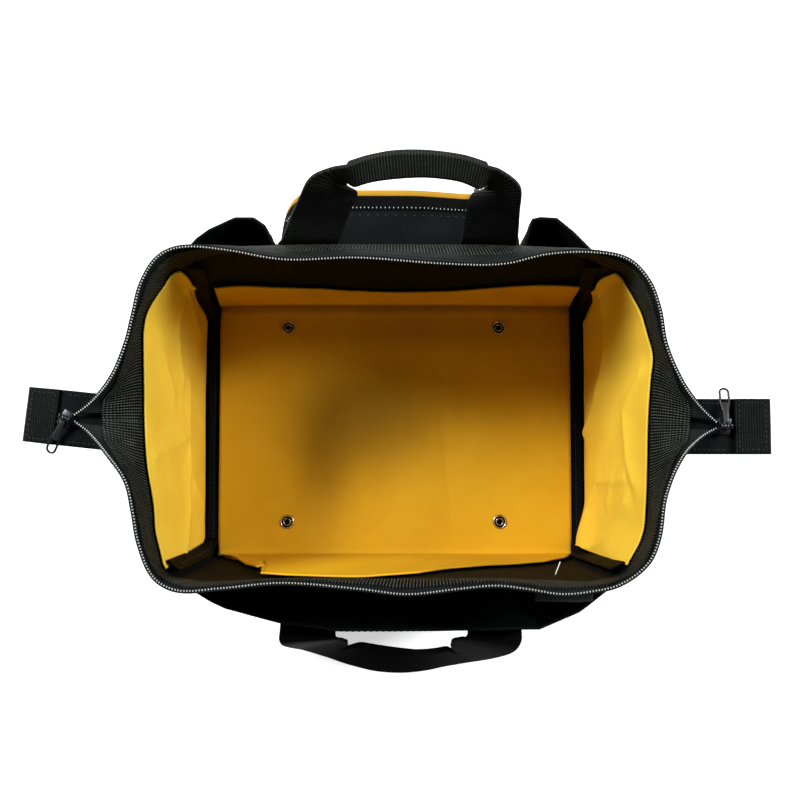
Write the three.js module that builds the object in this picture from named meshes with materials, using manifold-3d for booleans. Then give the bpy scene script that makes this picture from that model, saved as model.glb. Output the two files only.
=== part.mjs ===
// A soft tool bag with its zipped mouth pulled wide open, standing on four rubber feet.
// The outer cloth is one panel that runs down the back, under the base and up the front, closed by
// two end panels. Webbing, zip tapes and zip teeth ring the mouth above the walls and lead out at
// both ends to a pull tab. Pockets and two webbing handles are sewn to the front and the back.
// Millimetres, +Z up, front towards -Y. The origin is on the floor, at the middle of the outline.
import * as THREE from 'three';
import Module from 'manifold-3d';
import { mergeVertices } from 'three/addons/utils/BufferGeometryUtils.js';

const wasm = await Module();
wasm.setup();

// Driving dimensions: the body
const BODY_LENGTH = 336;
const BODY_WIDTH = 226;
const WALL_TOP = 195;
const CORNER_RADIUS = 16;
const BASE_EDGE_RADIUS = 9;
const FRONT_SWELL = -2;
const BACK_SWELL = 10;
const FRONT_BELLY = { out: 6, x: -40, reach: 80 };
const CORNER_EASE = 6;
const CORNER_REACH = 40;
const CLOTH = 2.2;
const LINING = 1.2;
const SEAM_GAP = 1.3;
const LAYER_GAP = 0.7;

// Driving dimensions: feet, rivets and the lined base board
const FOOT_HEIGHT = 7;
const FOOT_RADIUS = 11;
const FOOT_SPACING_LENGTH = 184;
const FOOT_SPACING_WIDTH = 169;
const FOOT_SHIFT = 4.5;
const RIVET_HEAD_RADIUS = 6;
const RIVET_HEAD_HEIGHT = 1.8;
const RIVET_SHANK_RADIUS = 2.2;
const RIVET_CLEARANCE = 0.4;
const BOARD_LENGTH = 305.6;
const BOARD_THICKNESS = 2.8;
const BOARD_FOLD_RADIUS = 4;

// Driving dimensions: the mouth
const MOUTH_RISE = 40;
const BAND_START = 0.03;
const BAND_SHARE = 0.6;
const SEAM_SHARE = 0.025;
const TEETH_SHARE = 0.1;
const BAND_THICKNESS = 3.2;
const TAPE_THICKNESS = 1.4;
const TEETH_THICKNESS = 3;
const TABS_REACH = 56;
const TAPE_END_SETBACK = 10;

// Driving dimensions: pull tabs, sliders and pulls
const WEBBING = 38;
const WEBBING_THICKNESS = 2.2;
const TAB_FOLD_LENGTH = 26;
const TAB_PATCH_LENGTH = 54;
const SLIDER_REACH = 38;
const SLIDER_LENGTH = 11;
const SLIDER_WIDTH = 9;
const SLIDER_HEIGHT = 5;
const SLIDER_PLATE = 1.3;
const PIN_RADIUS = 0.8;
const PIN_LIFT = 3;
const PULL_LENGTH = 28;
const PULL_WIDTH = 7.5;
const PULL_THICKNESS = 1.5;
const PULL_CLEARANCE = 0.4;
const PULL_DROOP_DEGREES = 17;

// Driving dimensions: handles and pockets
const HANDLE_SPACING = 122;
const HANDLE_SHIFT = 3;
const BACK_HANDLE_RISE = 80;
const BACK_HANDLE_LEAN = 50;
const FRONT_HANDLE_DROP = 50;
const FRONT_HANDLE_OUT = 40;
const GRIP_THICKNESS = 4.6;
const POCKET_CLOTH = 1.8;
const HEM_EXTRA = 1;
const FRONT_POCKET_DEPTH = 33;
const FRONT_POCKET_TOP = 176;
const SLIP_POCKET_DEPTH = 32;
const SLIP_POCKET_TOP = 184;
const ZIP_POCKET_DEPTH = 53;
const ZIP_POCKET_LENGTH = 170;
const ZIP_POCKET_SHIFT = 3;
const ZIP_POCKET_TOP = 187;
const POCKET_FOOT = 15;
const SEAM_LABEL = { length: 40, out: 12, drop: 7, thick: 1.2 };
const CARE_LABEL = { out: 13, tall: 10, thick: 0.8 };

// Sizes that follow from the driving ones
const HALF_LENGTH = BODY_LENGTH / 2;
const HALF_WIDTH = BODY_WIDTH / 2;
const CLOSE_GAP = 0.3;
const BASE_UNDER = FOOT_HEIGHT + CLOSE_GAP;
const BASE_TOP = BASE_UNDER + CLOTH;
const BOARD_UNDER = BASE_TOP + LAYER_GAP;
const STRAIGHT_END = HALF_WIDTH - CORNER_RADIUS;
const STRAIGHT_SIDE = HALF_LENGTH - CORNER_RADIUS;
const QUARTER_ARC = Math.PI * CORNER_RADIUS / 2;
const HALF_RING = 2 * (STRAIGHT_END + QUARTER_ARC + STRAIGHT_SIDE);
const CORNER_SHARE = (STRAIGHT_END + QUARTER_ARC / 2) / HALF_RING;
const FRONT = -1;
const BACK = 1;
const LEFT = -1;
const RIGHT = 1;

const COLOURS = {
  blackCloth: { color: 0x15171a, roughness: 0.85, metalness: 0 },
  blackWebbing: { color: 0x1c1e1c, roughness: 0.9, metalness: 0 },
  yellowCloth: { color: 0xe9b62c, roughness: 0.7, metalness: 0 },
  teeth: { color: 0x2a2c2e, roughness: 0.4, metalness: 0 },
  darkMetal: { color: 0x3a3c40, roughness: 0.35, metalness: 0.9 },
  steel: { color: 0xb9b4a8, roughness: 0.3, metalness: 1 },
  rubber: { color: 0x1a1a1a, roughness: 0.8, metalness: 0 },
  label: { color: 0xf2f2ee, roughness: 0.8, metalness: 0 },
};

const bag = new THREE.Group();

function point(x, y, z) {
  return new THREE.Vector3(x, y, z);
}

function blend(from, to, share) {
  return from + (to - from) * share;
}

function smooth(share) {
  const held = Math.min(Math.max(share, 0), 1);
  return held * held * (3 - 2 * held);
}

// Even steps from one value to another, both ends included.
function steps(from, to, count) {
  return Array.from({ length: count + 1 }, (_, index) => blend(from, to, index / count));
}

// Value of a column at a place, from rows sorted by that place.
function fromTable(rows, key, place, column) {
  if (place <= rows[0][key]) return rows[0][column];
  for (let index = 1; index < rows.length; index += 1) {
    const before = rows[index - 1];
    const after = rows[index];
    if (place <= after[key]) {
      const share = (place - before[key]) / (after[key] - before[key]);
      return blend(before[column], after[column], share);
    }
  }
  return rows[rows.length - 1][column];
}

// Value of a column at a place, on a smooth curve through rows sorted by that place.
function smoothTable(rows, key, place, column) {
  const at = (index) => rows[Math.min(Math.max(index, 0), rows.length - 1)];
  const index = Math.min(rows.filter((row) => row[key] <= place).length, rows.length - 1) || 1;
  const [before, start, end, after] = [index - 2, index - 1, index, index + 1].map(at);
  const gap = end[key] - start[key];
  const share = Math.min(Math.max((place - start[key]) / gap, 0), 1);
  const leave = (end[column] - before[column]) / (end[key] - before[key]) * gap;
  const arrive = (after[column] - start[column]) / (after[key] - start[key]) * gap;
  const rise = end[column] - start[column];
  const bend = 3 * rise - 2 * leave - arrive + share * (leave + arrive - 2 * rise);
  return start[column] + share * (leave + share * bend);
}

// Adds a named piece of the bag in one of the materials.
function addPiece(name, geometry, finish, parent = bag) {
  geometry.computeVertexNormals();
  const mesh = new THREE.Mesh(geometry, new THREE.MeshStandardMaterial(COLOURS[finish]));
  mesh.name = name;
  parent.add(mesh);
  return mesh;
}

// Outward directions of a grid of points, along (next column) x (next row).
function gridNormals(grid, closed) {
  const columns = grid.length;
  return grid.map((column, i) => column.map((_, j) => {
    const before = grid[closed ? (i + columns - 1) % columns : Math.max(i - 1, 0)][j];
    const after = grid[closed ? (i + 1) % columns : Math.min(i + 1, columns - 1)][j];
    const below = column[Math.max(j - 1, 0)];
    const above = column[Math.min(j + 1, column.length - 1)];
    return after.clone().sub(before).cross(above.clone().sub(below)).normalize();
  }));
}

// A closed sheet of cloth around a grid of points: it lies between `outer` outside the grid and
// `inner` inside it. Either may be a number or a function of the column and row.
function sheet(grid, outer, inner, closed = false) {
  const columns = grid.length;
  const rows = grid[0].length;
  const normals = gridNormals(grid, closed);
  const amount = (value, i, j) => (typeof value === 'function' ? value(i, j) : value);
  const positions = [];
  const faces = [];
  for (const side of [0, 1]) {
    for (let i = 0; i < columns; i += 1) {
      for (let j = 0; j < rows; j += 1) {
        const offset = side === 0 ? amount(outer, i, j) : -amount(inner, i, j);
        positions.push(...grid[i][j].clone().addScaledVector(normals[i][j], offset).toArray());
      }
    }
  }
  const at = (side, i, j) => side * columns * rows + (i % columns) * rows + j;
  const quad = (a, b, c, d) => faces.push(a, b, c, a, c, d);
  const lastColumn = closed ? columns : columns - 1;
  for (let i = 0; i < lastColumn; i += 1) {
    for (let j = 0; j < rows - 1; j += 1) {
      quad(at(0, i, j), at(0, i + 1, j), at(0, i + 1, j + 1), at(0, i, j + 1));
      quad(at(1, i, j), at(1, i, j + 1), at(1, i + 1, j + 1), at(1, i + 1, j));
    }
    quad(at(0, i + 1, 0), at(0, i, 0), at(1, i, 0), at(1, i + 1, 0));
    quad(at(0, i, rows - 1), at(0, i + 1, rows - 1), at(1, i + 1, rows - 1), at(1, i, rows - 1));
  }
  if (!closed) {
    for (let j = 0; j < rows - 1; j += 1) {
      quad(at(0, 0, j), at(0, 0, j + 1), at(1, 0, j + 1), at(1, 0, j));
      const last = columns - 1;
      quad(at(0, last, j + 1), at(0, last, j), at(1, last, j), at(1, last, j + 1));
    }
  }
  const geometry = new THREE.BufferGeometry();
  geometry.setAttribute('position', new THREE.Float32BufferAttribute(positions, 3));
  geometry.setIndex(faces);
  return geometry;
}

// A strip of webbing through rows of {centre, across}, where `across` reaches from the middle of
// the strip to its edge. `thick` is a number or a function of the row.
function strip(rows, thick) {
  const shares = [-1, 0, 1];
  const grid = rows.map((row) => shares.map(
    (share) => row.centre.clone().addScaledVector(row.across, share),
  ));
  const half = (i) => (typeof thick === 'function' ? thick(i) : thick) / 2;
  return sheet(grid, half, half);
}

// manifold-3d solids from closed geometries, and back
function toSolid(geometry) {
  const bare = geometry.clone();
  bare.deleteAttribute('normal');
  bare.deleteAttribute('uv');
  const merged = mergeVertices(bare, 1e-4);
  return new wasm.Manifold(new wasm.Mesh({
    numProp: 3,
    vertProperties: new Float32Array(merged.attributes.position.array),
    triVerts: new Uint32Array(merged.index.array),
  }));
}

function toGeometry(solid) {
  const mesh = solid.getMesh();
  const geometry = new THREE.BufferGeometry();
  geometry.setAttribute('position', new THREE.Float32BufferAttribute(mesh.vertProperties, 3));
  geometry.setIndex(Array.from(mesh.triVerts));
  return geometry;
}

function cylinder(radius, length, sides, axis) {
  const geometry = new THREE.CylinderGeometry(radius, radius, length, sides);
  if (axis === 'z') geometry.rotateX(Math.PI / 2);
  if (axis === 'x') geometry.rotateZ(Math.PI / 2);
  return geometry;
}

function box(length, width, height, x = 0, y = 0, z = 0) {
  return new THREE.BoxGeometry(length, width, height).translate(x, y, z);
}

// How far the end walls stand out at their top, at shares of their half width from the front to the
// back.
const END_SWELL = [
  { across: -1, left: 0, right: 0 }, { across: -0.85, left: 0.6, right: 5 },
  { across: -0.6, left: 2, right: 7.6 }, { across: -0.3, left: 7, right: 9 },
  { across: 0, left: 9, right: 10 }, { across: 0.3, left: 10, right: 12.3 },
  { across: 0.47, left: 10.5, right: 14 }, { across: 0.65, left: 10.6, right: 9.8 },
  { across: 0.82, left: 7.6, right: 5.5 }, { across: 1, left: 0, right: 0 },
];

// The outer face of the walls in plan: half the ring, from the middle of the left end, over the
// front or the back, to the middle of the right end. The corners open out rounder at their top.
function ringPlan(share, side) {
  const along = Math.min(Math.max(share, 0), 1) * HALF_RING;
  const mirrored = along > HALF_RING / 2;
  const path = mirrored ? HALF_RING - along : along;
  const toEnd = mirrored ? 1 : -1;
  const toCorner = Math.min(Math.abs(path - CORNER_SHARE * HALF_RING) / CORNER_REACH, 1);
  const ease = CORNER_EASE * (1 - toCorner ** 2) ** 2;
  if (path <= STRAIGHT_END) {
    const swell = smoothTable(END_SWELL, 'across', side * path / STRAIGHT_END, mirrored ? 'right' : 'left');
    return { x: toEnd * HALF_LENGTH, y: side * path, nx: toEnd, ny: 0, swell: swell - ease };
  }
  if (path <= STRAIGHT_END + QUARTER_ARC) {
    const turn = (path - STRAIGHT_END) / CORNER_RADIUS;
    const nx = toEnd * Math.cos(turn);
    const ny = side * Math.sin(turn);
    const x = toEnd * STRAIGHT_SIDE + CORNER_RADIUS * nx;
    return { x, y: side * STRAIGHT_END + CORNER_RADIUS * ny, nx, ny, swell: -ease };
  }
  const x = toEnd * (STRAIGHT_SIDE - (path - STRAIGHT_END - QUARTER_ARC));
  const fullSwell = side === FRONT ? FRONT_SWELL : BACK_SWELL;
  const swell = fullSwell * (1 - (Math.abs(x) / STRAIGHT_SIDE) ** 4) - ease;
  return { x, y: side * HALF_WIDTH, nx: 0, ny: side, swell };
}

// How far the walls have swollen at a height, as a share of the swell at their top.
function swellShare(z) {
  return (Math.max(z - BASE_UNDER, 0) / (WALL_TOP - BASE_UNDER)) ** 1.3;
}

// How far the front wall bellies out behind its pocket, left of its middle.
function belly(x, z) {
  const up = Math.min(Math.max((z - BASE_UNDER) / (WALL_TOP - BASE_UNDER), 0), 1);
  const along = Math.exp(-(((x - FRONT_BELLY.x) / FRONT_BELLY.reach) ** 2));
  return FRONT_BELLY.out * along * Math.sin(Math.PI * up ** 1.4) ** 2;
}

// A point on the outer face of the walls, which curves in under the base, or `inset` inside it.
function wallPoint(share, side, z, inset = 0) {
  const plan = ringPlan(share, side);
  const below = Math.max(BASE_UNDER + BASE_EDGE_RADIUS - z, 0);
  const tuck = BASE_EDGE_RADIUS - Math.sqrt(Math.max(BASE_EDGE_RADIUS ** 2 - below ** 2, 0));
  const bulge = side === FRONT ? belly(plan.x, z) * Math.abs(plan.ny) : 0;
  const out = plan.swell * swellShare(z) + bulge - tuck - inset;
  return point(plan.x + plan.nx * out, plan.y + plan.ny * out, z);
}

// The share of the half ring at a place along the front or the back.
function shareAt(x) {
  return (STRAIGHT_END + QUARTER_ARC + STRAIGHT_SIDE + x) / HALF_RING;
}

// Heights of the rows of a wall, from the top seam down to the curve into the base.
const WALL_HEIGHTS = steps(WALL_TOP, BASE_UNDER + BASE_EDGE_RADIUS, 5);
const EDGE_HEIGHTS = [30, 60, 90].map(
  (degrees) => BASE_UNDER + BASE_EDGE_RADIUS * (1 - Math.sin(degrees * Math.PI / 180)),
);

function makeMainPanel() {
  const margin = SEAM_GAP / HALF_RING;
  const cornerEnd = (STRAIGHT_END + QUARTER_ARC) / HALF_RING;
  const corner = steps(CORNER_SHARE + margin, cornerEnd, 2);
  const middle = steps(cornerEnd, 1 - cornerEnd, 10).slice(1, -1);
  const shares = [...corner, ...middle, ...corner.map((share) => 1 - share).reverse()];
  const grid = shares.map((share) => {
    const down = [...WALL_HEIGHTS, ...EDGE_HEIGHTS];
    const back = down.map((z) => wallPoint(share, BACK, z));
    const front = down.map((z) => wallPoint(share, FRONT, z)).reverse();
    const under = steps(0, 1, 4).slice(1, -1).map(
      (part) => back[back.length - 1].clone().lerp(front[0], part),
    );
    return [...back, ...under, ...front];
  });
  return sheet(grid, 0, CLOTH);
}

// A point over one end wall: `arc` runs along it from its middle, to the back when positive.
function endPoint(end, arc, z, inset = 0) {
  const share = Math.abs(arc) / HALF_RING;
  return wallPoint(end === LEFT ? share : 1 - share, arc < 0 ? FRONT : BACK, z, inset);
}

function makeEndPanel(end) {
  const reach = CORNER_SHARE * HALF_RING - SEAM_GAP;
  const half = [...steps(0, STRAIGHT_END, 4), ...steps(STRAIGHT_END, reach, 2).slice(1)];
  const arcs = [...half.slice(1).reverse().map((arc) => -arc), ...half];
  const path = end === LEFT ? arcs.reverse() : arcs;
  const heights = [...WALL_HEIGHTS, ...EDGE_HEIGHTS].reverse();
  return sheet(path.map((arc) => heights.map((z) => endPoint(end, arc, z))), 0, CLOTH);
}

// Creases in the lining of the two ends, as chains of (place across the end, height), with how far
// each one stands in and how wide it is.
const CREASES = [
  { end: LEFT, depth: 3.5, width: 13, chain: [[95, 130], [62, 116], [36, 108]] },
  { end: LEFT, depth: 4.5, width: 15, chain: [[92, 130], [88, 95], [76, 60]] },
  { end: LEFT, depth: 3, width: 12, chain: [[34, 85], [0, 84], [-42, 90], [-66, 92], [-88, 120]] },
  { end: LEFT, depth: 4, width: 14, chain: [[-24, 186], [-14, 130], [-7, 88]] },
  { end: RIGHT, depth: 6, width: 16, chain: [[92, 135], [58, 104], [22, 76], [-4, 40]] },
  { end: RIGHT, depth: 3.2, width: 12, chain: [[34, 172], [10, 145], [-26, 155], [-44, 175]] },
  { end: RIGHT, depth: 3.2, width: 12, chain: [[-42, 118], [-44, 70], [-64, 45], [-83, 24]] },
  { end: RIGHT, depth: 3.6, width: 13, chain: [[-57, 155], [-86, 112], [-90, 50]] },
];

function distanceToChain(place, chain) {
  const corners = chain.map(([across, up]) => point(across, up, 0));
  const nearest = new THREE.Vector3();
  const distances = corners.slice(1).map((corner, index) => {
    new THREE.Line3(corners[index], corner).closestPointToPoint(place, true, nearest);
    return nearest.distanceTo(place);
  });
  return Math.min(...distances);
}

function creaseDepth(end, across, z) {
  const depths = CREASES.filter((row) => row.end === end).map(
    (row) => row.depth * Math.exp(-((distanceToChain(point(across, z, 0), row.chain) / row.width) ** 2)),
  );
  return Math.max(0, ...depths);
}

// How far the lining stops short of the back and the front corner, at heights above the floor.
const LINING_EDGES = {
  [LEFT]: [
    { z: 20, back: 14, front: 14 }, { z: 35, back: 6, front: 13 }, { z: 60, back: 2, front: 12 },
    { z: 110, back: -2, front: 10 }, { z: 150, back: -3, front: 7 }, { z: 195, back: -3, front: 3 },
  ],
  [RIGHT]: [
    { z: 20, back: 15, front: 3 }, { z: 35, back: 6, front: 4 }, { z: 60, back: 2, front: 5 },
    { z: 110, back: -2, front: 6 }, { z: 150, back: -4, front: 8 }, { z: 195, back: -4, front: 9 },
  ],
};
const LINING_RISE = 17;
const LINING_FOOT = BASE_TOP + LINING_RISE;
const LINING_GAP = 2.6 * LAYER_GAP;

function makeEndLining(end) {
  const top = WALL_TOP - CLOSE_GAP;
  const corner = CORNER_SHARE * HALF_RING;
  const places = [0, 0.03, 0.06, 0.1, 0.2, 0.3, 0.4, 0.5, 0.6, 0.7, 0.8, 0.9, 0.94, 0.97, 1];
  const path = end === LEFT ? places.reverse() : places;
  const grid = path.map((place) => steps(LINING_FOOT, top, 9).map((z) => {
    const front = corner - smoothTable(LINING_EDGES[end], 'z', z, 'front');
    const back = corner - smoothTable(LINING_EDGES[end], 'z', z, 'back');
    const arc = blend(-front, back, place);
    const upFade = smooth(Math.min(z - LINING_FOOT, top - z) / 20);
    const acrossFade = smooth(Math.min(place, 1 - place) / 0.22);
    return endPoint(end, arc, z, CLOTH + LINING_GAP + upFade * acrossFade * creaseDepth(end, arc, z));
  }));
  return sheet(grid, 0, LINING);
}

// The lined base board with its margins turned up at the front and back: height of each margin
// above the board, as shares of the wall height, at places along the board.
const FLAP_ROWS = [
  { along: -1, front: 0.05, back: 0.3 },
  { along: -0.94, front: 0.16, back: 0.31 },
  { along: -0.84, front: 0.4, back: 0.31 },
  { along: -0.76, front: 0.48, back: 0.3 },
  { along: -0.73, front: 0.4, back: 0.3 },
  { along: -0.715, front: 0.66, back: 0.3 },
  { along: -0.3, front: 0.67, back: 0.25 },
  { along: 0.12, front: 0.66, back: 0.23 },
  { along: 0.3, front: 0.52, back: 0.24 },
  { along: 0.6, front: 0.42, back: 0.28 },
  { along: 1, front: 0.22, back: 0.3 },
];
const FLAP_TAPER = 0.08;

function makeBaseLiner() {
  const wallInside = HALF_WIDTH - CLOTH - LAYER_GAP - BOARD_THICKNESS;
  const floor = BOARD_UNDER + BOARD_THICKNESS;
  const foldStart = HALF_WIDTH - BASE_EDGE_RADIUS;
  const grid = FLAP_ROWS.map((row) => {
    const x = row.along * BOARD_LENGTH / 2;
    const flap = (side, share) => {
      const rise = share * (WALL_TOP - floor);
      return steps(0, 1, 4).slice(1).map((part) => {
        const z = floor + BOARD_FOLD_RADIUS + rise * part;
        const lean = Math.abs(wallPoint(shareAt(x), side, z).y) - HALF_WIDTH;
        return point(x * (1 - FLAP_TAPER * part), side * (wallInside + lean), z);
      });
    };
    const turn = (side) => [
      point(x, side * foldStart, floor),
      point(x, side * blend(foldStart, wallInside, 0.7), floor + 0.3 * BOARD_FOLD_RADIUS),
      point(x, side * wallInside, floor + BOARD_FOLD_RADIUS),
    ];
    return [
      ...flap(BACK, row.back).reverse(), ...turn(BACK).reverse(),
      ...turn(FRONT), ...flap(FRONT, row.front),
    ];
  });
  const isFloor = (j) => grid[0][j].z === floor;
  return sheet(grid, (i, j) => (isFloor(j) ? BOARD_THICKNESS : BOARD_THICKNESS - LAYER_GAP), 0);
}

// Feet under the base, each on a rivet through the base cloth and the lined board.
const FOOT_PLACES = [
  { name: 'front_left', x: LEFT, y: FRONT },
  { name: 'front_right', x: RIGHT, y: FRONT },
  { name: 'back_left', x: LEFT, y: BACK },
  { name: 'back_right', x: RIGHT, y: BACK },
].map((place) => ({
  name: place.name,
  x: place.x * FOOT_SPACING_LENGTH / 2,
  y: place.y * FOOT_SPACING_WIDTH / 2 + FOOT_SHIFT,
}));
const SHANK_DEPTH = 0.6 * FOOT_HEIGHT;
const BOARD_TOP = BOARD_UNDER + BOARD_THICKNESS;

function lathe(profile, sides) {
  const points = profile.map(([radius, z]) => new THREE.Vector2(radius, z));
  return new THREE.LatheGeometry(points, sides).rotateX(Math.PI / 2);
}

function makeFoot() {
  const bore = RIVET_SHANK_RADIUS + RIVET_CLEARANCE;
  const boreFloor = FOOT_HEIGHT - SHANK_DEPTH;
  return lathe([
    [0, 0], [0.82 * FOOT_RADIUS, 0], [FOOT_RADIUS, 0.45 * FOOT_HEIGHT],
    [FOOT_RADIUS, FOOT_HEIGHT], [bore, FOOT_HEIGHT], [bore, boreFloor], [0, boreFloor],
  ], 16);
}

function makeRivet() {
  const under = BOARD_TOP + CLOSE_GAP;
  const top = under + RIVET_HEAD_HEIGHT;
  const dish = 0.45 * RIVET_HEAD_RADIUS;
  return lathe([
    [0, FOOT_HEIGHT - SHANK_DEPTH + CLOSE_GAP],
    [RIVET_SHANK_RADIUS, FOOT_HEIGHT - SHANK_DEPTH + CLOSE_GAP],
    [RIVET_SHANK_RADIUS, under], [RIVET_HEAD_RADIUS, under],
    [RIVET_HEAD_RADIUS, under + 0.4 * RIVET_HEAD_HEIGHT], [0.75 * RIVET_HEAD_RADIUS, top],
    [dish, top], [0.7 * dish, under + 0.35 * RIVET_HEAD_HEIGHT],
    [0, under + 0.35 * RIVET_HEAD_HEIGHT],
  ], 16);
}

// Cuts a clearance hole for each rivet through a layer of the base.
function drillForRivets(geometry) {
  const drillLength = 2 * (HALF_WIDTH - STRAIGHT_END);
  let solid = toSolid(geometry);
  for (const place of FOOT_PLACES) {
    const drill = cylinder(RIVET_SHANK_RADIUS + RIVET_CLEARANCE, drillLength, 12, 'z');
    drill.translate(place.x, place.y, BASE_TOP);
    solid = solid.subtract(toSolid(drill));
  }
  return toGeometry(solid);
}

// Seam tape inside the bag, over the seam between the main panel and one end panel: down the back
// corner, along the base edge and up the front corner.
const SEAM_TAPE = 11;
const SEAM_TAPE_THICKNESS = 1.6;
const SEAM_TAPE_INSET = 10;

// How far along the main wall from the corner the tape lies, at heights above the floor.
const SEAM_TAPE_ROWS = [
  { end: LEFT, side: BACK, lay: [[190, 16], [148, 13], [84, 6], [42, -3]] },
  { end: LEFT, side: FRONT, lay: [[190, 2], [132, 0], [76, -1], [42, -2]] },
  { end: RIGHT, side: BACK, lay: [[190, 16], [148, 14], [100, 8], [42, -3]] },
  { end: RIGHT, side: FRONT, lay: [[190, 4], [132, 3], [76, 1], [42, -1]] },
];

function makeSeamTape(end) {
  const rows = SEAM_TAPE_ROWS.filter((row) => row.end === end).map(({ side, lay }) => {
    const fall = lay.map(([z, along]) => {
      const share = CORNER_SHARE + along / HALF_RING;
      const turned = end === LEFT ? share : 1 - share;
      const { nx, ny } = ringPlan(turned, side);
      const centre = wallPoint(turned, side, z, SEAM_TAPE_INSET + 5 * Math.abs(nx * ny));
      const across = point(end * Math.abs(ny), -side * Math.abs(nx), 0).multiplyScalar(SEAM_TAPE / 2);
      return { centre, across };
    });
    const foot = fall[fall.length - 1];
    const floor = {
      centre: point(end * (STRAIGHT_SIDE + 0.4 * CORNER_RADIUS), side * (STRAIGHT_END - 4), BASE_TOP + 4.2),
      across: point(end * 0.9, 0, 0.42).multiplyScalar(SEAM_TAPE / 2),
    };
    const bend = {
      centre: foot.centre.clone().lerp(floor.centre, 0.6),
      across: foot.across.clone().lerp(floor.across, 0.5).setLength(SEAM_TAPE / 2),
    };
    return side === BACK ? [...fall, bend, floor] : [floor, bend, ...fall.reverse()];
  }).flat();
  return strip(end === LEFT ? rows.reverse() : rows, SEAM_TAPE_THICKNESS);
}

// The edge of the open mouth, where the zip teeth lie, from the left slider to the right one:
// along and across as shares of the body's half length and half width, up as a share of the rise
// from the top seam of the walls. Past the ends of the body, along counts thirds of the tabs' reach.
const BACK_EDGE = [
  { along: -1.333, across: 0.018, up: 0.2 }, { along: -1.226, across: 0.119, up: 0.4 },
  { along: -1.125, across: 0.257, up: 0.74 }, { along: -1.06, across: 0.442, up: 0.93 },
  { along: -1.03, across: 0.611, up: 0.98 }, { along: -1, across: 0.788, up: 1 },
  { along: -0.935, across: 0.947, up: 1 }, { along: -0.839, across: 1.009, up: 1 },
  { along: -0.673, across: 0.996, up: 1 }, { along: -0.44, across: 0.938, up: 1 },
  { along: -0.155, across: 0.95, up: 1 }, { along: 0.173, across: 0.916, up: 1 },
  { along: 0.411, across: 0.912, up: 1 }, { along: 0.595, across: 0.973, up: 1 },
  { along: 0.774, across: 0.982, up: 1 }, { along: 0.911, across: 0.938, up: 1 },
  { along: 0.994, across: 0.805, up: 1 }, { along: 1.036, across: 0.637, up: 0.98 },
  { along: 1.06, across: 0.442, up: 0.93 }, { along: 1.137, across: 0.23, up: 0.7 },
  { along: 1.232, across: 0.088, up: 0.38 }, { along: 1.333, across: -0.031, up: 0.2 },
];
const FRONT_EDGE = [
  { along: -1.333, across: 0.018, up: 0.2 }, { along: -1.238, across: -0.075, up: 0.36 },
  { along: -1.125, across: -0.226, up: 0.75 }, { along: -1.048, across: -0.363, up: 0.96 },
  { along: -1.018, across: -0.531, up: 1 }, { along: -0.994, across: -0.708, up: 1 },
  { along: -0.935, across: -0.903, up: 1 }, { along: -0.839, across: -0.982, up: 1 },
  { along: -0.679, across: -0.973, up: 1 }, { along: -0.435, across: -0.942, up: 1 },
  { along: -0.143, across: -0.976, up: 1 }, { along: 0.042, across: -1.006, up: 1 },
  { along: 0.24, across: -0.976, up: 1 }, { along: 0.381, across: -0.958, up: 1 },
  { along: 0.5, across: -0.977, up: 1 }, { along: 0.63, across: -1.006, up: 1 },
  { along: 0.744, across: -0.993, up: 1 }, { along: 0.863, across: -0.95, up: 1 },
  { along: 0.97, across: -0.832, up: 1 }, { along: 1.018, across: -0.681, up: 1 },
  { along: 1.048, across: -0.442, up: 0.95 }, { along: 1.125, across: -0.23, up: 0.74 },
  { along: 1.232, across: -0.102, up: 0.38 }, { along: 1.333, across: -0.031, up: 0.2 },
];

function edgeCurve(rows) {
  const places = rows.map((row) => {
    const past = Math.max(Math.abs(row.along) - 1, 0) * Math.sign(row.along);
    const x = (row.along - past) * HALF_LENGTH + past * 3 * TABS_REACH;
    return point(x, row.across * HALF_WIDTH, WALL_TOP + row.up * MOUTH_RISE);
  });
  const curve = new THREE.CatmullRomCurve3(places);
  curve.arcLengthDivisions = 400;
  return curve;
}

const EDGE = { [BACK]: edgeCurve(BACK_EDGE), [FRONT]: edgeCurve(FRONT_EDGE) };

// How far the band leans in above the front wall before it flares out.
const FRONT_TUCK = 4;

// A point on the cloth of the mouth: `up` runs from the top seam of the walls to the teeth.
function mouthPoint(share, side, up) {
  const seam = wallPoint(share, side, WALL_TOP);
  const edge = EDGE[side].getPointAt(Math.min(Math.max(share, 0), 1));
  const tuck = side === FRONT ? FRONT_TUCK * Math.abs(ringPlan(share, side).ny) : 0;
  const guide = point(seam.x, seam.y + tuck, WALL_TOP + 0.35 * MOUTH_RISE);
  const rest = 1 - up;
  return seam.multiplyScalar(rest * rest)
    .addScaledVector(guide, 2 * rest * up)
    .addScaledVector(edge, up * up);
}

function makeMouthBand() {
  const shares = steps(0, 1, 34);
  const places = [
    ...shares.slice(0, -1).map((share) => [share, FRONT]),
    ...shares.slice(1).reverse().map((share) => [share, BACK]),
  ];
  const rises = steps(BAND_START, BAND_SHARE, 3);
  const grid = places.map(([share, side]) => rises.map((up) => mouthPoint(share, side, up)));
  return sheet(grid, LAYER_GAP, BAND_THICKNESS - LAYER_GAP, true);
}

// One half of the zip, as a strip of the mouth between two heights that stops short of both sliders.
function makeZipHalf(side, fromUp, toUp, thick) {
  const setback = TAPE_END_SETBACK / EDGE[side].getLength();
  const shares = steps(setback, 1 - setback, 44);
  const rises = [fromUp, toUp];
  const path = side === FRONT ? shares : shares.reverse();
  const grid = path.map((share) => rises.map((up) => mouthPoint(share, side, up)));
  return sheet(grid, thick / 2, thick / 2);
}

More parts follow.
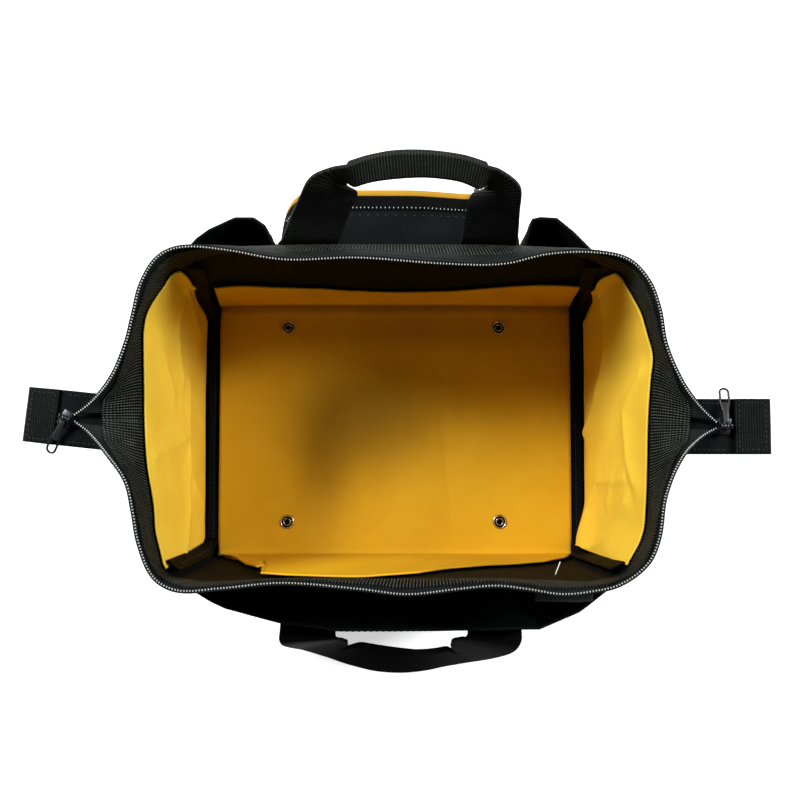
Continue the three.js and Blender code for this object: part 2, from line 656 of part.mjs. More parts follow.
// Pull tabs at both ends of the mouth: a cloth patch under the end of the zip, and webbing folded
// over the outer end of the patch. The left tab droops and turns a little to the back, the right one
// stays level and straight.
const TAB_DROOP = { [LEFT]: 0.28, [RIGHT]: 0.02 };
const TAB_TURN_DEGREES = { [LEFT]: 6, [RIGHT]: 0 };
const TAB_SEAT = 1.6;

function tabPoint(end, reach, across, lift) {
  const apex = EDGE[FRONT].getPointAt(end === LEFT ? 0 : 1);
  const turn = TAB_TURN_DEGREES[end] * Math.PI / 180;
  const along = reach - SLIDER_REACH;
  const x = apex.x + end * (along * Math.cos(turn) - across * Math.sin(turn));
  const y = apex.y + across * Math.cos(turn) + along * Math.sin(turn);
  const past = Math.max(along, 0);
  const drop = TAB_DROOP[end] * past + TAB_DROOP[end] * past * past / 90;
  const seat = TAB_SEAT * Math.max(1 - reach / 16, 0);
  return point(x, y, apex.z - 3 + seat + lift - drop);
}

function tabStrip(end, reaches, lifts, thick) {
  const rows = reaches.map((reach, index) => {
    const centre = tabPoint(end, reach, 0, lifts[index]);
    const edge = tabPoint(end, reach, -end * WEBBING / 2, lifts[index]);
    return { centre, across: edge.sub(centre) };
  });
  return strip(rows, thick);
}

function makeTabPatch(end) {
  const reaches = steps(0, TAB_PATCH_LENGTH, 5);
  return tabStrip(end, reaches, reaches.map(() => 0), POCKET_CLOTH);
}

function makeTabWebbing(end) {
  const fold = POCKET_CLOTH / 2 + LAYER_GAP + WEBBING_THICKNESS / 2;
  const start = SLIDER_REACH + SLIDER_LENGTH / 2 + 2;
  const finish = start + TAB_FOLD_LENGTH - fold - WEBBING_THICKNESS / 2;
  const layer = steps(start, finish, 3);
  const turn = [30, 60, 90, 120, 150].map((degrees) => degrees * Math.PI / 180);
  const reaches = [
    ...layer, ...turn.map((angle) => finish + fold * Math.sin(angle)), ...[...layer].reverse(),
  ];
  const lifts = [
    ...layer.map(() => fold), ...turn.map((angle) => fold * Math.cos(angle)), ...layer.map(() => -fold),
  ];
  return tabStrip(end, reaches, lifts, WEBBING_THICKNESS);
}

// Zip sliders: two plates on a wedge, with a pin between two ears that carries the pull.
function makeSliderSolid() {
  const earTall = PIN_LIFT + 1;
  const ear = (side) => box(2.4, 1.2, earTall, 0, side * 3.4, SLIDER_HEIGHT + earTall / 2 - 0.1);
  const pieces = [
    box(SLIDER_LENGTH, SLIDER_WIDTH, SLIDER_PLATE, 0, 0, SLIDER_PLATE / 2),
    box(SLIDER_LENGTH, SLIDER_WIDTH, SLIDER_PLATE, 0, 0, SLIDER_HEIGHT - SLIDER_PLATE / 2),
    box(SLIDER_LENGTH / 2, 2.6, SLIDER_HEIGHT - 1, 0, 0, SLIDER_HEIGHT / 2),
    ear(1),
    ear(-1),
    cylinder(PIN_RADIUS, 7.2, 10, 'y').translate(0, 0, SLIDER_HEIGHT + PIN_LIFT),
  ];
  return pieces.map(toSolid).reduce((joined, piece) => joined.add(piece));
}

// The pull: a barrel round the pin and a plate that widens to an open loop.
function makePullSolid() {
  const barrel = PIN_RADIUS + PULL_CLEARANCE + 0.9;
  const shape = new THREE.Shape();
  shape.moveTo(0, -2);
  shape.lineTo(PULL_LENGTH - PULL_WIDTH / 2, -PULL_WIDTH / 2);
  shape.absarc(PULL_LENGTH - PULL_WIDTH / 2, 0, PULL_WIDTH / 2, -Math.PI / 2, Math.PI / 2);
  shape.lineTo(0, 2);
  shape.closePath();
  const opening = new THREE.Path();
  const inner = PULL_WIDTH / 2 - 1.3;
  opening.moveTo(0.62 * PULL_LENGTH, -0.7 * inner);
  opening.lineTo(PULL_LENGTH - PULL_WIDTH / 2, -inner);
  opening.absarc(PULL_LENGTH - PULL_WIDTH / 2, 0, inner, -Math.PI / 2, Math.PI / 2);
  opening.lineTo(0.62 * PULL_LENGTH, 0.7 * inner);
  opening.closePath();
  shape.holes.push(opening);
  const plate = new THREE.ExtrudeGeometry(shape, {
    depth: PULL_THICKNESS, bevelEnabled: false, curveSegments: 8,
  }).translate(0, 0, -PULL_THICKNESS / 2);
  return toSolid(plate)
    .add(toSolid(cylinder(barrel, 4.4, 12, 'y')))
    .subtract(toSolid(cylinder(PIN_RADIUS + PULL_CLEARANCE, 10, 12, 'y')));
}

// Sliders stand over the ends of the zip; each pull lies in the direction the photograph shows.
const SLIDER_ROWS = [
  { name: 'left', end: LEFT, turn: -117 },
  { name: 'right', end: RIGHT, turn: 88 },
];

function addSlider(row) {
  const holder = new THREE.Group();
  holder.position.copy(tabPoint(row.end, SLIDER_REACH, 0, POCKET_CLOTH / 2 + CLOSE_GAP));
  holder.rotation.z = row.turn * Math.PI / 180;
  addPiece(`zip_slider_${row.name}`, toGeometry(makeSliderSolid()), 'darkMetal', holder);
  const pull = addPiece(`zip_pull_${row.name}`, toGeometry(makePullSolid()), 'darkMetal', holder);
  pull.position.z = SLIDER_HEIGHT + PIN_LIFT;
  pull.rotation.y = PULL_DROOP_DEGREES * Math.PI / 180;
  bag.add(holder);
}

// Handles, from the foot of the left leg to the foot of the right one, by the two edges of the
// webbing: the outer edge, away from the hand, and the inner one. Places along are shares of half the
// spacing of the legs; `out` and `up` are shares of the handle's own reach and rise. The webbing is
// doubled lengthwise where `folded` is 1. A row with `out` 0 is sewn to the cloth behind it.
const BACK_HANDLE_ROWS = [
  { x: -1.41, out: 0, up: -0.06, innerX: -0.75, innerOut: 0, innerUp: -0.06, folded: 0 },
  { x: -1.35, out: 0.25, up: 0.06, innerX: -0.7, innerOut: 0.22, innerUp: 0.06, folded: 0 },
  { x: -1.21, out: 0.47, up: 0.34, innerX: -0.6, innerOut: 0.43, innerUp: 0.3, folded: 0 },
  { x: -1.08, out: 0.63, up: 0.6, innerX: -0.52, innerOut: 0.56, innerUp: 0.5, folded: 0 },
  { x: -0.98, out: 0.73, up: 0.81, innerX: -0.47, innerOut: 0.66, innerUp: 0.59, folded: 0 },
  { x: -0.88, out: 0.78, up: 0.91, innerX: -0.51, innerOut: 0.73, innerUp: 0.57, folded: 0 },
  { x: -0.72, out: 0.83, up: 0.96, innerX: -0.58, innerOut: 0.77, innerUp: 0.54, folded: 0 },
  { x: -0.52, out: 0.89, up: 0.99, innerX: -0.47, innerOut: 0.7, innerUp: 0.77, folded: 1 },
  { x: -0.33, out: 0.96, up: 1.01, innerX: -0.3, innerOut: 0.73, innerUp: 0.84, folded: 1 },
  { x: -0.09, out: 1, up: 1.04, innerX: -0.07, innerOut: 0.76, innerUp: 0.86, folded: 1 },
  { x: 0.18, out: 1.01, up: 1.04, innerX: 0.2, innerOut: 0.78, innerUp: 0.86, folded: 1 },
  { x: 0.41, out: 1, up: 1.02, innerX: 0.41, innerOut: 0.77, innerUp: 0.85, folded: 1 },
  { x: 0.65, out: 0.96, up: 1, innerX: 0.62, innerOut: 0.74, innerUp: 0.82, folded: 1 },
  { x: 0.86, out: 0.89, up: 0.97, innerX: 0.8, innerOut: 0.68, innerUp: 0.76, folded: 1 },
  { x: 1.01, out: 0.82, up: 0.94, innerX: 0.9, innerOut: 0.75, innerUp: 0.53, folded: 0 },
  { x: 1.18, out: 0.72, up: 0.86, innerX: 0.85, innerOut: 0.75, innerUp: 0.48, folded: 0 },
  { x: 1.26, out: 0.65, up: 0.74, innerX: 0.76, innerOut: 0.69, innerUp: 0.5, folded: 0 },
  { x: 1.29, out: 0.5, up: 0.48, innerX: 0.71, innerOut: 0.54, innerUp: 0.38, folded: 0 },
  { x: 1.33, out: 0.29, up: 0.1, innerX: 0.7, innerOut: 0.3, innerUp: 0.1, folded: 0 },
  { x: 1.34, out: 0, up: -0.06, innerX: 0.69, innerOut: 0, innerUp: -0.06, folded: 0 },
];
const FRONT_HANDLE_ROWS = [
  { x: -1.42, out: 0, up: -1.7, innerX: -0.77, innerOut: 0, innerUp: -1.7, folded: 0 },
  { x: -1.42, out: 0, up: -0.64, innerX: -0.77, innerOut: 0, innerUp: -0.64, folded: 0 },
  { x: -1.42, out: 0.09, up: -0.44, innerX: -0.76, innerOut: 0.13, innerUp: -0.44, folded: 0 },
  { x: -1.42, out: 0.25, up: -0.4, innerX: -0.75, innerOut: 0.18, innerUp: -0.36, folded: 0 },
  { x: -1.36, out: 0.36, up: -0.52, innerX: -0.72, innerOut: 0.22, innerUp: -0.4, folded: 0 },
  { x: -1.18, out: 0.47, up: -0.74, innerX: -0.69, innerOut: 0.24, innerUp: -0.48, folded: 0 },
  { x: -0.92, out: 0.62, up: -0.86, innerX: -0.63, innerOut: 0.29, innerUp: -0.56, folded: 0 },
  { x: -0.59, out: 0.77, up: -0.86, innerX: -0.45, innerOut: 0.36, innerUp: -0.68, folded: 1 },
  { x: -0.29, out: 0.88, up: -0.84, innerX: -0.26, innerOut: 0.42, innerUp: -0.72, folded: 1 },
  { x: 0.03, out: 0.91, up: -0.84, innerX: 0.03, innerOut: 0.48, innerUp: -0.72, folded: 1 },
  { x: 0.32, out: 0.86, up: -0.86, innerX: 0.28, innerOut: 0.49, innerUp: -0.66, folded: 1 },
  { x: 0.59, out: 0.77, up: -0.86, innerX: 0.54, innerOut: 0.43, innerUp: -0.6, folded: 1 },
  { x: 0.9, out: 0.71, up: -0.82, innerX: 0.6, innerOut: 0.34, innerUp: -0.48, folded: 0 },
  { x: 1.16, out: 0.6, up: -0.66, innerX: 0.62, innerOut: 0.24, innerUp: -0.4, folded: 0 },
  { x: 1.35, out: 0.46, up: -0.5, innerX: 0.7, innerOut: 0.2, innerUp: -0.37, folded: 0 },
  { x: 1.43, out: 0.27, up: -0.4, innerX: 0.78, innerOut: 0.17, innerUp: -0.37, folded: 0 },
  { x: 1.44, out: 0.1, up: -0.44, innerX: 0.8, innerOut: 0.12, innerUp: -0.44, folded: 0 },
  { x: 1.44, out: 0, up: -0.64, innerX: 0.81, innerOut: 0, innerUp: -0.64, folded: 0 },
  { x: 1.44, out: 0, up: -1.7, innerX: 0.81, innerOut: 0, innerUp: -1.7, folded: 0 },
];

// `place` holds the side, the base plane the rows are measured from, and how far out the cloth
// behind the legs comes, as a function of the place along and the height.
function makeHandle(rows, place) {
  const clearance = LAYER_GAP + WEBBING_THICKNESS / 2;
  const edge = (along, out, up) => {
    const x = HANDLE_SHIFT + along * HANDLE_SPACING / 2;
    const z = place.height + up * place.rise;
    const sewn = place.behind(x, z) + clearance;
    const away = out === 0 ? sewn : Math.max(place.plane + out * place.reach, sewn);
    return point(x, place.side * away, z);
  };
  const strips = rows.map((row) => {
    const outer = edge(row.x, row.out, row.up);
    const inner = edge(row.innerX, row.innerOut, row.innerUp);
    const centre = outer.clone().add(inner).multiplyScalar(0.5);
    return { centre, across: outer.sub(inner).multiplyScalar(0.5) };
  });
  return strip(strips, (i) => blend(WEBBING_THICKNESS, GRIP_THICKNESS, rows[i].folded));
}

// The wall behind a leg, and the mouth band, which stands a little proud of it.
function wallOut(side) {
  return (x, z) => Math.abs(wallPoint(shareAt(x), side, Math.min(z, WALL_TOP)).y) + LAYER_GAP;
}

// Pockets stand out from the flat of the wall: how far, as a share of the pocket's depth, at places
// along it, and how that share grows from its foot to its top.
const FRONT_POCKET_PLAN = [
  { x: -0.9, out: 0 }, { x: -0.86, out: 0.16 }, { x: -0.71, out: 0.5 }, { x: -0.49, out: 0.8 },
  { x: -0.25, out: 0.98 }, { x: 0, out: 1 }, { x: 0.36, out: 1 }, { x: 0.6, out: 0.98 },
  { x: 0.77, out: 0.6 }, { x: 0.9, out: 0.2 }, { x: 0.945, out: 0 },
];
const LEFT_SLIP_PLAN = [
  { x: -0.89, out: 0 }, { x: -0.87, out: 0.4 }, { x: -0.79, out: 0.71 }, { x: -0.68, out: 0.98 },
  { x: -0.6, out: 0.98 }, { x: -0.55, out: 0.8 }, { x: -0.5, out: 0.3 }, { x: -0.49, out: 0 },
];
const RIGHT_SLIP_PLAN = [
  { x: 0.53, out: 0 }, { x: 0.54, out: 0.4 }, { x: 0.57, out: 0.95 }, { x: 0.61, out: 1 },
  { x: 0.68, out: 0.98 }, { x: 0.75, out: 0.68 }, { x: 0.83, out: 0.25 }, { x: 0.86, out: 0 },
];
const SLIP_RISE = [
  { up: 0, out: 0.02 }, { up: 0.03, out: 0.4 }, { up: 0.12, out: 0.62 }, { up: 0.45, out: 0.82 },
  { up: 1, out: 1 },
];
const FRONT_POCKET = {
  plan: FRONT_POCKET_PLAN, side: FRONT, depth: FRONT_POCKET_DEPTH, top: FRONT_POCKET_TOP,
};
const SLIP_POCKETS = [
  { name: 'left', plan: LEFT_SLIP_PLAN, side: BACK, depth: SLIP_POCKET_DEPTH, top: SLIP_POCKET_TOP },
  { name: 'right', plan: RIGHT_SLIP_PLAN, side: BACK, depth: SLIP_POCKET_DEPTH, top: SLIP_POCKET_TOP },
];

// A pocket's point: no nearer to the wall than the cloth that covers it.
function pocketPoint(x, z, side, out) {
  const wall = Math.abs(wallPoint(shareAt(x), side, z).y);
  const away = Math.max(Math.min(HALF_WIDTH, wall) + out, wall + LAYER_GAP + POCKET_CLOTH);
  return point(x, side * away, z);
}

function slipPocketPoint(pocket, x, z) {
  const up = (z - POCKET_FOOT) / (pocket.top - POCKET_FOOT);
  const out = pocket.depth * fromTable(pocket.plan, 'x', x / HALF_LENGTH, 'out');
  return pocketPoint(x, z, pocket.side, out * fromTable(SLIP_RISE, 'up', up, 'out'));
}

function makeSlipPocket(pocket) {
  const rises = [0, 0.03, 0.12, 0.45, 0.7, 0.93, 0.94, 1];
  const places = pocket.plan.map((row) => row.x * HALF_LENGTH);
  if (pocket.side === BACK) places.reverse();
  const grid = places.map((x) => rises.map(
    (up) => slipPocketPoint(pocket, x, blend(POCKET_FOOT, pocket.top, up)),
  ));
  const hem = (i, j) => (rises[j] > 0.935 ? HEM_EXTRA : 0);
  return sheet(grid, hem, POCKET_CLOTH);
}

// The zipped pocket on the back, in three strips from the floor up: the yellow face, the zip and
// the sloping top. `out` is a share of the pocket's depth and `up` a share of its height.
const ZIP_POCKET_PROFILE = [
  { part: 'face', up: 0, out: 0.05 }, { part: 'face', up: 0.03, out: 0.62 },
  { part: 'face', up: 0.2, out: 0.92 }, { part: 'face', up: 0.5, out: 1 },
  { part: 'face', up: 0.88, out: 0.99 }, { part: 'face', up: 0.952, out: 0.94 },
  { part: 'zip', up: 0.962, out: 0.9 }, { part: 'zip', up: 0.972, out: 0.82 },
  { part: 'zip', up: 0.981, out: 0.74 },
  { part: 'top', up: 0.988, out: 0.68 }, { part: 'top', up: 0.993, out: 0.56 },
  { part: 'top', up: 1, out: 0.35 }, { part: 'top', up: 1.01, out: 0.1 },
];
const ZIP_POCKET_PLACES = [-1, -0.98, -0.93, -0.8, -0.4, 0, 0.4, 0.8, 0.93, 0.98, 1];

function makeZipPocketPart(part) {
  const rows = ZIP_POCKET_PROFILE.filter((row) => row.part === part);
  const grid = [...ZIP_POCKET_PLACES].reverse().map((place) => {
    const x = ZIP_POCKET_SHIFT + place * ZIP_POCKET_LENGTH / 2;
    const round = (1 - Math.abs(place) ** 10) ** 0.35;
    return rows.map((row) => {
      const z = blend(POCKET_FOOT, ZIP_POCKET_TOP, row.up);
      return pocketPoint(x, z, BACK, ZIP_POCKET_DEPTH * row.out * round);
    });
  });
  return sheet(grid, 0, POCKET_CLOTH);
}

// The slider of the pocket's zip, parked at its right end under the handle, with its pull down.
function makePocketSlider() {
  const out = HALF_WIDTH + 0.8 * ZIP_POCKET_DEPTH + CLOSE_GAP;
  const z = blend(POCKET_FOOT, ZIP_POCKET_TOP, 0.972) + 3.4;
  const x = ZIP_POCKET_SHIFT + 0.66 * ZIP_POCKET_LENGTH / 2;
  const plate = box(9, 8, 2.6, 0, 0, 0);
  const pull = box(4, 16, 1.2, 0, 6, 1.6);
  const solid = toSolid(plate).add(toSolid(pull));
  return toGeometry(solid).rotateX(-0.75).translate(x, out, z);
}

// Small sewn-on pieces: a bare woven label that stands out of the seam above the front wall, and a
// blank one inside the wall.
function makeSeamLabel() {
  const middle = 0.69 * HALF_LENGTH;
  const half = SEAM_LABEL.length / 2;
  const grid = steps(middle - half, middle + half, 4).map((x) => {
    const seam = wallPoint(shareAt(x), FRONT, WALL_TOP - 2);
    return steps(1, 0, 3).map((share) => point(
      seam.x,
      seam.y - CLOSE_GAP - share * SEAM_LABEL.out,
      seam.z - share * share * SEAM_LABEL.drop,
    ));
  });
  return sheet(grid, SEAM_LABEL.thick / 2, SEAM_LABEL.thick / 2);
}

function makeCareLabel() {
  const x = 0.7 * HALF_LENGTH;
  const z = 0.77 * WALL_TOP;
  const inside = wallPoint(shareAt(x), FRONT, z).y + CLOTH + CLOSE_GAP;
  const label = box(CARE_LABEL.thick, CARE_LABEL.out, CARE_LABEL.tall, 0, CARE_LABEL.out / 2, 0);
  return label.rotateZ(-0.42).translate(x, inside + 0.6, z);
}

// Body
addPiece('main_panel', drillForRivets(makeMainPanel()), 'blackCloth');
addPiece('base_liner', drillForRivets(makeBaseLiner()), 'yellowCloth');
for (const [name, end] of [['left', LEFT], ['right', RIGHT]]) {
  addPiece(`end_panel_${name}`, makeEndPanel(end), 'blackCloth');
  addPiece(`end_lining_${name}`, makeEndLining(end), 'yellowCloth');
  addPiece(`seam_tape_${name}`, makeSeamTape(end), 'blackWebbing');
}
for (const place of FOOT_PLACES) {
  addPiece(`foot_${place.name}`, makeFoot(), 'rubber').position.set(place.x, place.y, 0);
  addPiece(`rivet_${place.name}`, makeRivet(), 'steel').position.set(place.x, place.y, 0);
}

// Mouth, tabs and sliders
const tapeFrom = BAND_SHARE + SEAM_SHARE;
const teethFrom = 1 - TEETH_SHARE;
addPiece('mouth_band', makeMouthBand(), 'blackWebbing');
for (const [name, side] of [['front', FRONT], ['back', BACK]]) {
  const tape = makeZipHalf(side, tapeFrom, teethFrom - SEAM_SHARE, TAPE_THICKNESS);
  const teeth = makeZipHalf(side, teethFrom, 1, TEETH_THICKNESS);
  addPiece(`zip_tape_${name}`, tape, 'blackCloth');
  addPiece(`zip_teeth_${name}`, teeth, 'teeth');
}
for (const [name, end] of [['left', LEFT], ['right', RIGHT]]) {
  addPiece(`tab_patch_${name}`, makeTabPatch(end), 'blackCloth');
  addPiece(`tab_webbing_${name}`, makeTabWebbing(end), 'blackWebbing');
}
SLIDER_ROWS.forEach(addSlider);

// Pockets, handles and small sewn pieces
addPiece('front_pocket', makeSlipPocket(FRONT_POCKET), 'blackCloth');
for (const pocket of SLIP_POCKETS) {
  addPiece(`slip_pocket_${pocket.name}`, makeSlipPocket(pocket), 'blackCloth');
}
addPiece('zip_pocket_face', makeZipPocketPart('face'), 'yellowCloth');
addPiece('zip_pocket_zip', makeZipPocketPart('zip'), 'blackWebbing');
addPiece('zip_pocket_top', makeZipPocketPart('top'), 'blackCloth');
addPiece('zip_pocket_slider', makePocketSlider(), 'darkMetal');
addPiece('handle_back', makeHandle(BACK_HANDLE_ROWS, {
  side: BACK,
  plane: HALF_WIDTH,
  reach: BACK_HANDLE_LEAN,
  height: WALL_TOP,
  rise: BACK_HANDLE_RISE,
  behind: wallOut(BACK),
}), 'blackWebbing');
addPiece('handle_front', makeHandle(FRONT_HANDLE_ROWS, {
  side: FRONT,
  plane: HALF_WIDTH + FRONT_POCKET_DEPTH,
  reach: FRONT_HANDLE_OUT,
  height: FRONT_POCKET_TOP,
  rise: FRONT_HANDLE_DROP,
  behind: (x, z) => Math.abs(slipPocketPoint(FRONT_POCKET, x, z).y),
}), 'blackWebbing');
addPiece('front_patch', makeSeamLabel(), 'blackWebbing');
addPiece('care_label', makeCareLabel(), 'label');

// The origin goes to the floor, at the middle of the outline.
bag.updateMatrixWorld(true);
const outline = new THREE.Box3().setFromObject(bag);
const middle = outline.getCenter(new THREE.Vector3());
bag.position.set(-middle.x, -middle.y, -outline.min.z);
const root = new THREE.Group();
root.add(bag);

export default root;
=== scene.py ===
# A soft tool bag seen from straight above: black woven cloth outside, yellow lining inside, the zipped
# mouth pulled wide open between its two end tabs. The sections follow the bag as it is sewn together:
# walls, lined base, end linings, seam tapes, rivets, mouth, tabs, sliders, pockets and handles.
# Sizes are in millimetres in the bag's own frame (middle of the walls, floor at 0) until a mesh is made.
import math
from bisect import bisect_right

import bmesh
import bpy
from mathutils import Matrix, Vector, noise
from mathutils.geometry import interpolate_bezier


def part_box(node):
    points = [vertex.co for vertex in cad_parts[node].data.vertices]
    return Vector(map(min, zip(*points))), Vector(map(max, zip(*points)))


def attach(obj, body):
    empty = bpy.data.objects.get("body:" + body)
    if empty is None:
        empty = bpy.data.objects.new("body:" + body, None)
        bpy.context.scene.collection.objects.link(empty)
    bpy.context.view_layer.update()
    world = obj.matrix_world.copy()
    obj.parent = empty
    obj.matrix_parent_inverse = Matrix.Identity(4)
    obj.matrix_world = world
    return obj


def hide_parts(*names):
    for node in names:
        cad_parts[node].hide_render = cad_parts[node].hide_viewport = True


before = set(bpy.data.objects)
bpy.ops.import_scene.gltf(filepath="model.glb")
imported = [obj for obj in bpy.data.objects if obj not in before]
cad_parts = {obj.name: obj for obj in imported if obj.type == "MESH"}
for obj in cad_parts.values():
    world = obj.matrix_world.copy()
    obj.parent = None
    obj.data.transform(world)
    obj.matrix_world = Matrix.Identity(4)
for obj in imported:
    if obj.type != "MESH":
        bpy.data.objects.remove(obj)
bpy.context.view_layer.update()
MM = 0.001

# Camera
# A camera held about 0.88 m above the bag, looking down and a little towards its back.
LENS_PIXELS = 998
PHOTO_PIXELS = 800
camera_data = bpy.data.cameras.new("camera_above")
camera_data.sensor_width = 36
camera_data.lens = camera_data.sensor_width * LENS_PIXELS / PHOTO_PIXELS
camera = bpy.data.objects.new("camera_above", camera_data)
bpy.context.scene.collection.objects.link(camera)
forward = Vector((8, 59, -LENS_PIXELS)).normalized()
right = forward.cross(Vector((0, 1, 0))).normalized()
turn = Matrix((right, right.cross(forward), -forward)).transposed().to_4x4()
camera.matrix_world = Matrix.Translation(Vector((-0.4, -17.84, 883)) * MM) @ turn
bpy.context.scene.camera = camera

# Studio light and pale floor
# A tall soft box behind the bag on the left lights the front of the lining, a lower one behind it on
# the right lights the left end, and the bag stands on a white board lit from below.
def add_light(name, towards, distance, size, power):
    """A soft box that shines at the middle of the bag from the direction `towards`."""
    data = bpy.data.lights.new(name, "AREA")
    data.shape = "RECTANGLE"
    data.size, data.size_y = size
    data.energy = power
    light = bpy.data.objects.new(name, data)
    bpy.context.scene.collection.objects.link(light)
    place = Vector(towards).normalized() * distance
    light.matrix_world = Matrix.Translation(place) @ place.to_track_quat("Z", "Y").to_matrix().to_4x4()


add_light("soft_box_left", (-0.73, 0.54, 1), 1.9, (0.3, 0.64), 40)
add_light("soft_box_right", (1.17, 0.37, 1), 2.1, (0.22, 0.9), 38)
bpy.context.scene.view_settings.view_transform = "Standard"

room = bpy.data.worlds.new("white_room")
room.use_nodes = True
room.node_tree.nodes["Background"].inputs["Color"].default_value = (1, 1, 1, 1)
room.node_tree.nodes["Background"].inputs["Strength"].default_value = 0.08
bpy.context.scene.world = room


def srgb(code):
    """A hex colour as linear red, green, blue and alpha."""
    channels = [int(code[i:i + 2], 16) / 255 for i in (1, 3, 5)]
    return [c / 12.92 if c <= 0.04045 else ((c + 0.055) / 1.055) ** 2.4 for c in channels] + [1]


def new_material(name, **settings):
    """A material and its Principled shader, with values for the shader's own sockets."""
    material = bpy.data.materials.new(name)
    material.use_nodes = True
    shader = material.node_tree.nodes["Principled BSDF"]
    for socket, value in settings.items():
        shader.inputs[socket.replace("_", " ")].default_value = value
    return material, shader


def node(material, kind, settings=None, links=None):
    """Adds a node to a material, with its settings and values, and its inputs linked to other outputs."""
    added = material.node_tree.nodes.new(kind)
    for name, value in (settings or {}).items():
        if isinstance(name, int) or name in added.inputs:
            added.inputs[name].default_value = value
        else:
            setattr(added, name, value)
    for name, source in (links or {}).items():
        material.node_tree.links.new(source, added.inputs[name])
    return added


def connect(material, source, target):
    material.node_tree.links.new(source, target)


# Painted board, rolled: matt and almost white, with a very faint unevenness.
painted_board, board_shader = new_material(
    "painted_board_pale", Base_Color=srgb("#F7F7F6"), Roughness=0.9, Emission_Strength=0.55)
board_shader.inputs["Emission Color"].default_value = (1, 1, 1, 1)
place = node(painted_board, "ShaderNodeTexCoord")
mottle = node(painted_board, "ShaderNodeTexNoise", {"Scale": 9, "Detail": 3}, {"Vector": place.outputs["Object"]})
tint = node(painted_board, "ShaderNodeMapRange", {"To Min": 0.87, "To Max": 0.93}, {"Value": mottle.outputs["Fac"]})
connect(painted_board, tint.outputs["Result"], board_shader.inputs["Roughness"])

board = bmesh.new()
bmesh.ops.create_grid(board, x_segments=2, y_segments=2, size=4)
floor_mesh = bpy.data.meshes.new("pale_floor")
board.to_mesh(floor_mesh)
board.free()
floor_mesh.materials.append(painted_board)
floor = bpy.data.objects.new("pale_floor", floor_mesh)
bpy.context.scene.collection.objects.link(floor)

# Walls and base
# The outer cloth is heavy woven polyester with a coated back: one panel runs down the back, under the
# base and up the front, and an end panel closes each end. Their edges turn in at the corner seams.
BODY_LENGTH = 336
BODY_WIDTH = 226
WALL_TOP = 195
CORNER_RADIUS = 16
BASE_UNDER = 7.3
BASE_EDGE_RADIUS = 9
FRONT_SWELL = -2
BACK_SWELL = 10
END_SWELL = (
    (-1, 0, 0), (-0.85, 0.6, 5), (-0.6, 2, 7.6), (-0.3, 7, 9), (0, 9, 10), (0.3, 10, 12.3), (0.47, 10.5, 14),
    (0.65, 10.6, 9.8), (0.82, 7.6, 5.5), (1, 0, 0),
)
CORNER_EASE = 6
CORNER_REACH = 40
FRONT_BELLY = 6
CLOTH = 2.2
HALF_LENGTH = BODY_LENGTH / 2
HALF_WIDTH = BODY_WIDTH / 2
STRAIGHT_END = HALF_WIDTH - CORNER_RADIUS
STRAIGHT_SIDE = HALF_LENGTH - CORNER_RADIUS
QUARTER_ARC = math.pi * CORNER_RADIUS / 2
HALF_RING = 2 * (STRAIGHT_END + QUARTER_ARC + STRAIGHT_SIDE)
CORNER_SHARE = (STRAIGHT_END + QUARTER_ARC / 2) / HALF_RING
FRONT = -1
BACK = 1
LEFT = -1
RIGHT = 1
left_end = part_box("end_panel_left")
right_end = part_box("end_panel_right")
BODY_MIDDLE = Vector((left_end[0].x + right_end[1].x, left_end[0].y + left_end[1].y, 0)) / 2 / MM


def smooth_rows(rows, place, column):
    """A column's value at a place, on a smooth curve through rows sorted by their first column."""
    index = min(max(sum(row[0] <= place for row in rows) - 1, 0), len(rows) - 2)
    before, start, end, after = (rows[min(max(index + step, 0), len(rows) - 1)] for step in (-1, 0, 1, 2))
    gap = end[0] - start[0]
    share = min(max((place - start[0]) / gap, 0), 1)
    leave = (end[column] - before[column]) / (end[0] - before[0]) * gap
    arrive = (after[column] - start[column]) / (after[0] - start[0]) * gap
    rise = end[column] - start[column]
    return start[column] + share * (leave + share * (
        3 * rise - 2 * leave - arrive + share * (leave + arrive - 2 * rise)))


def ring_plan(share, side):
    """The walls in plan: place, outward direction and swell, from the left end round to the right."""
    along = min(max(share, 0), 1) * HALF_RING
    to_end = RIGHT if along > HALF_RING / 2 else LEFT
    path = min(along, HALF_RING - along)
    to_corner = min(abs(path - STRAIGHT_END - QUARTER_ARC / 2) / CORNER_REACH, 1)
    ease = CORNER_EASE * (1 - to_corner ** 2) ** 2
    if path <= STRAIGHT_END:
        swell = smooth_rows(END_SWELL, side * path / STRAIGHT_END, 1 if to_end == LEFT else 2)
        return to_end * HALF_LENGTH, side * path, to_end, 0, swell - ease
    if path <= STRAIGHT_END + QUARTER_ARC:
        angle = (path - STRAIGHT_END) / CORNER_RADIUS
        nx = to_end * math.cos(angle)
        ny = side * math.sin(angle)
        return (to_end * STRAIGHT_SIDE + CORNER_RADIUS * nx,
                side * STRAIGHT_END + CORNER_RADIUS * ny, nx, ny, -ease)
    x = to_end * (STRAIGHT_SIDE - (path - STRAIGHT_END - QUARTER_ARC))
    full_swell = FRONT_SWELL if side == FRONT else BACK_SWELL
    swell = full_swell * (1 - (abs(x) / STRAIGHT_SIDE) ** 4)
    return x, side * HALF_WIDTH, 0, side, swell - ease


def share_at(x):
    return (STRAIGHT_END + QUARTER_ARC + STRAIGHT_SIDE + x) / HALF_RING


def swell_share(z):
    return (max(z - BASE_UNDER, 0) / (WALL_TOP - BASE_UNDER)) ** 1.3


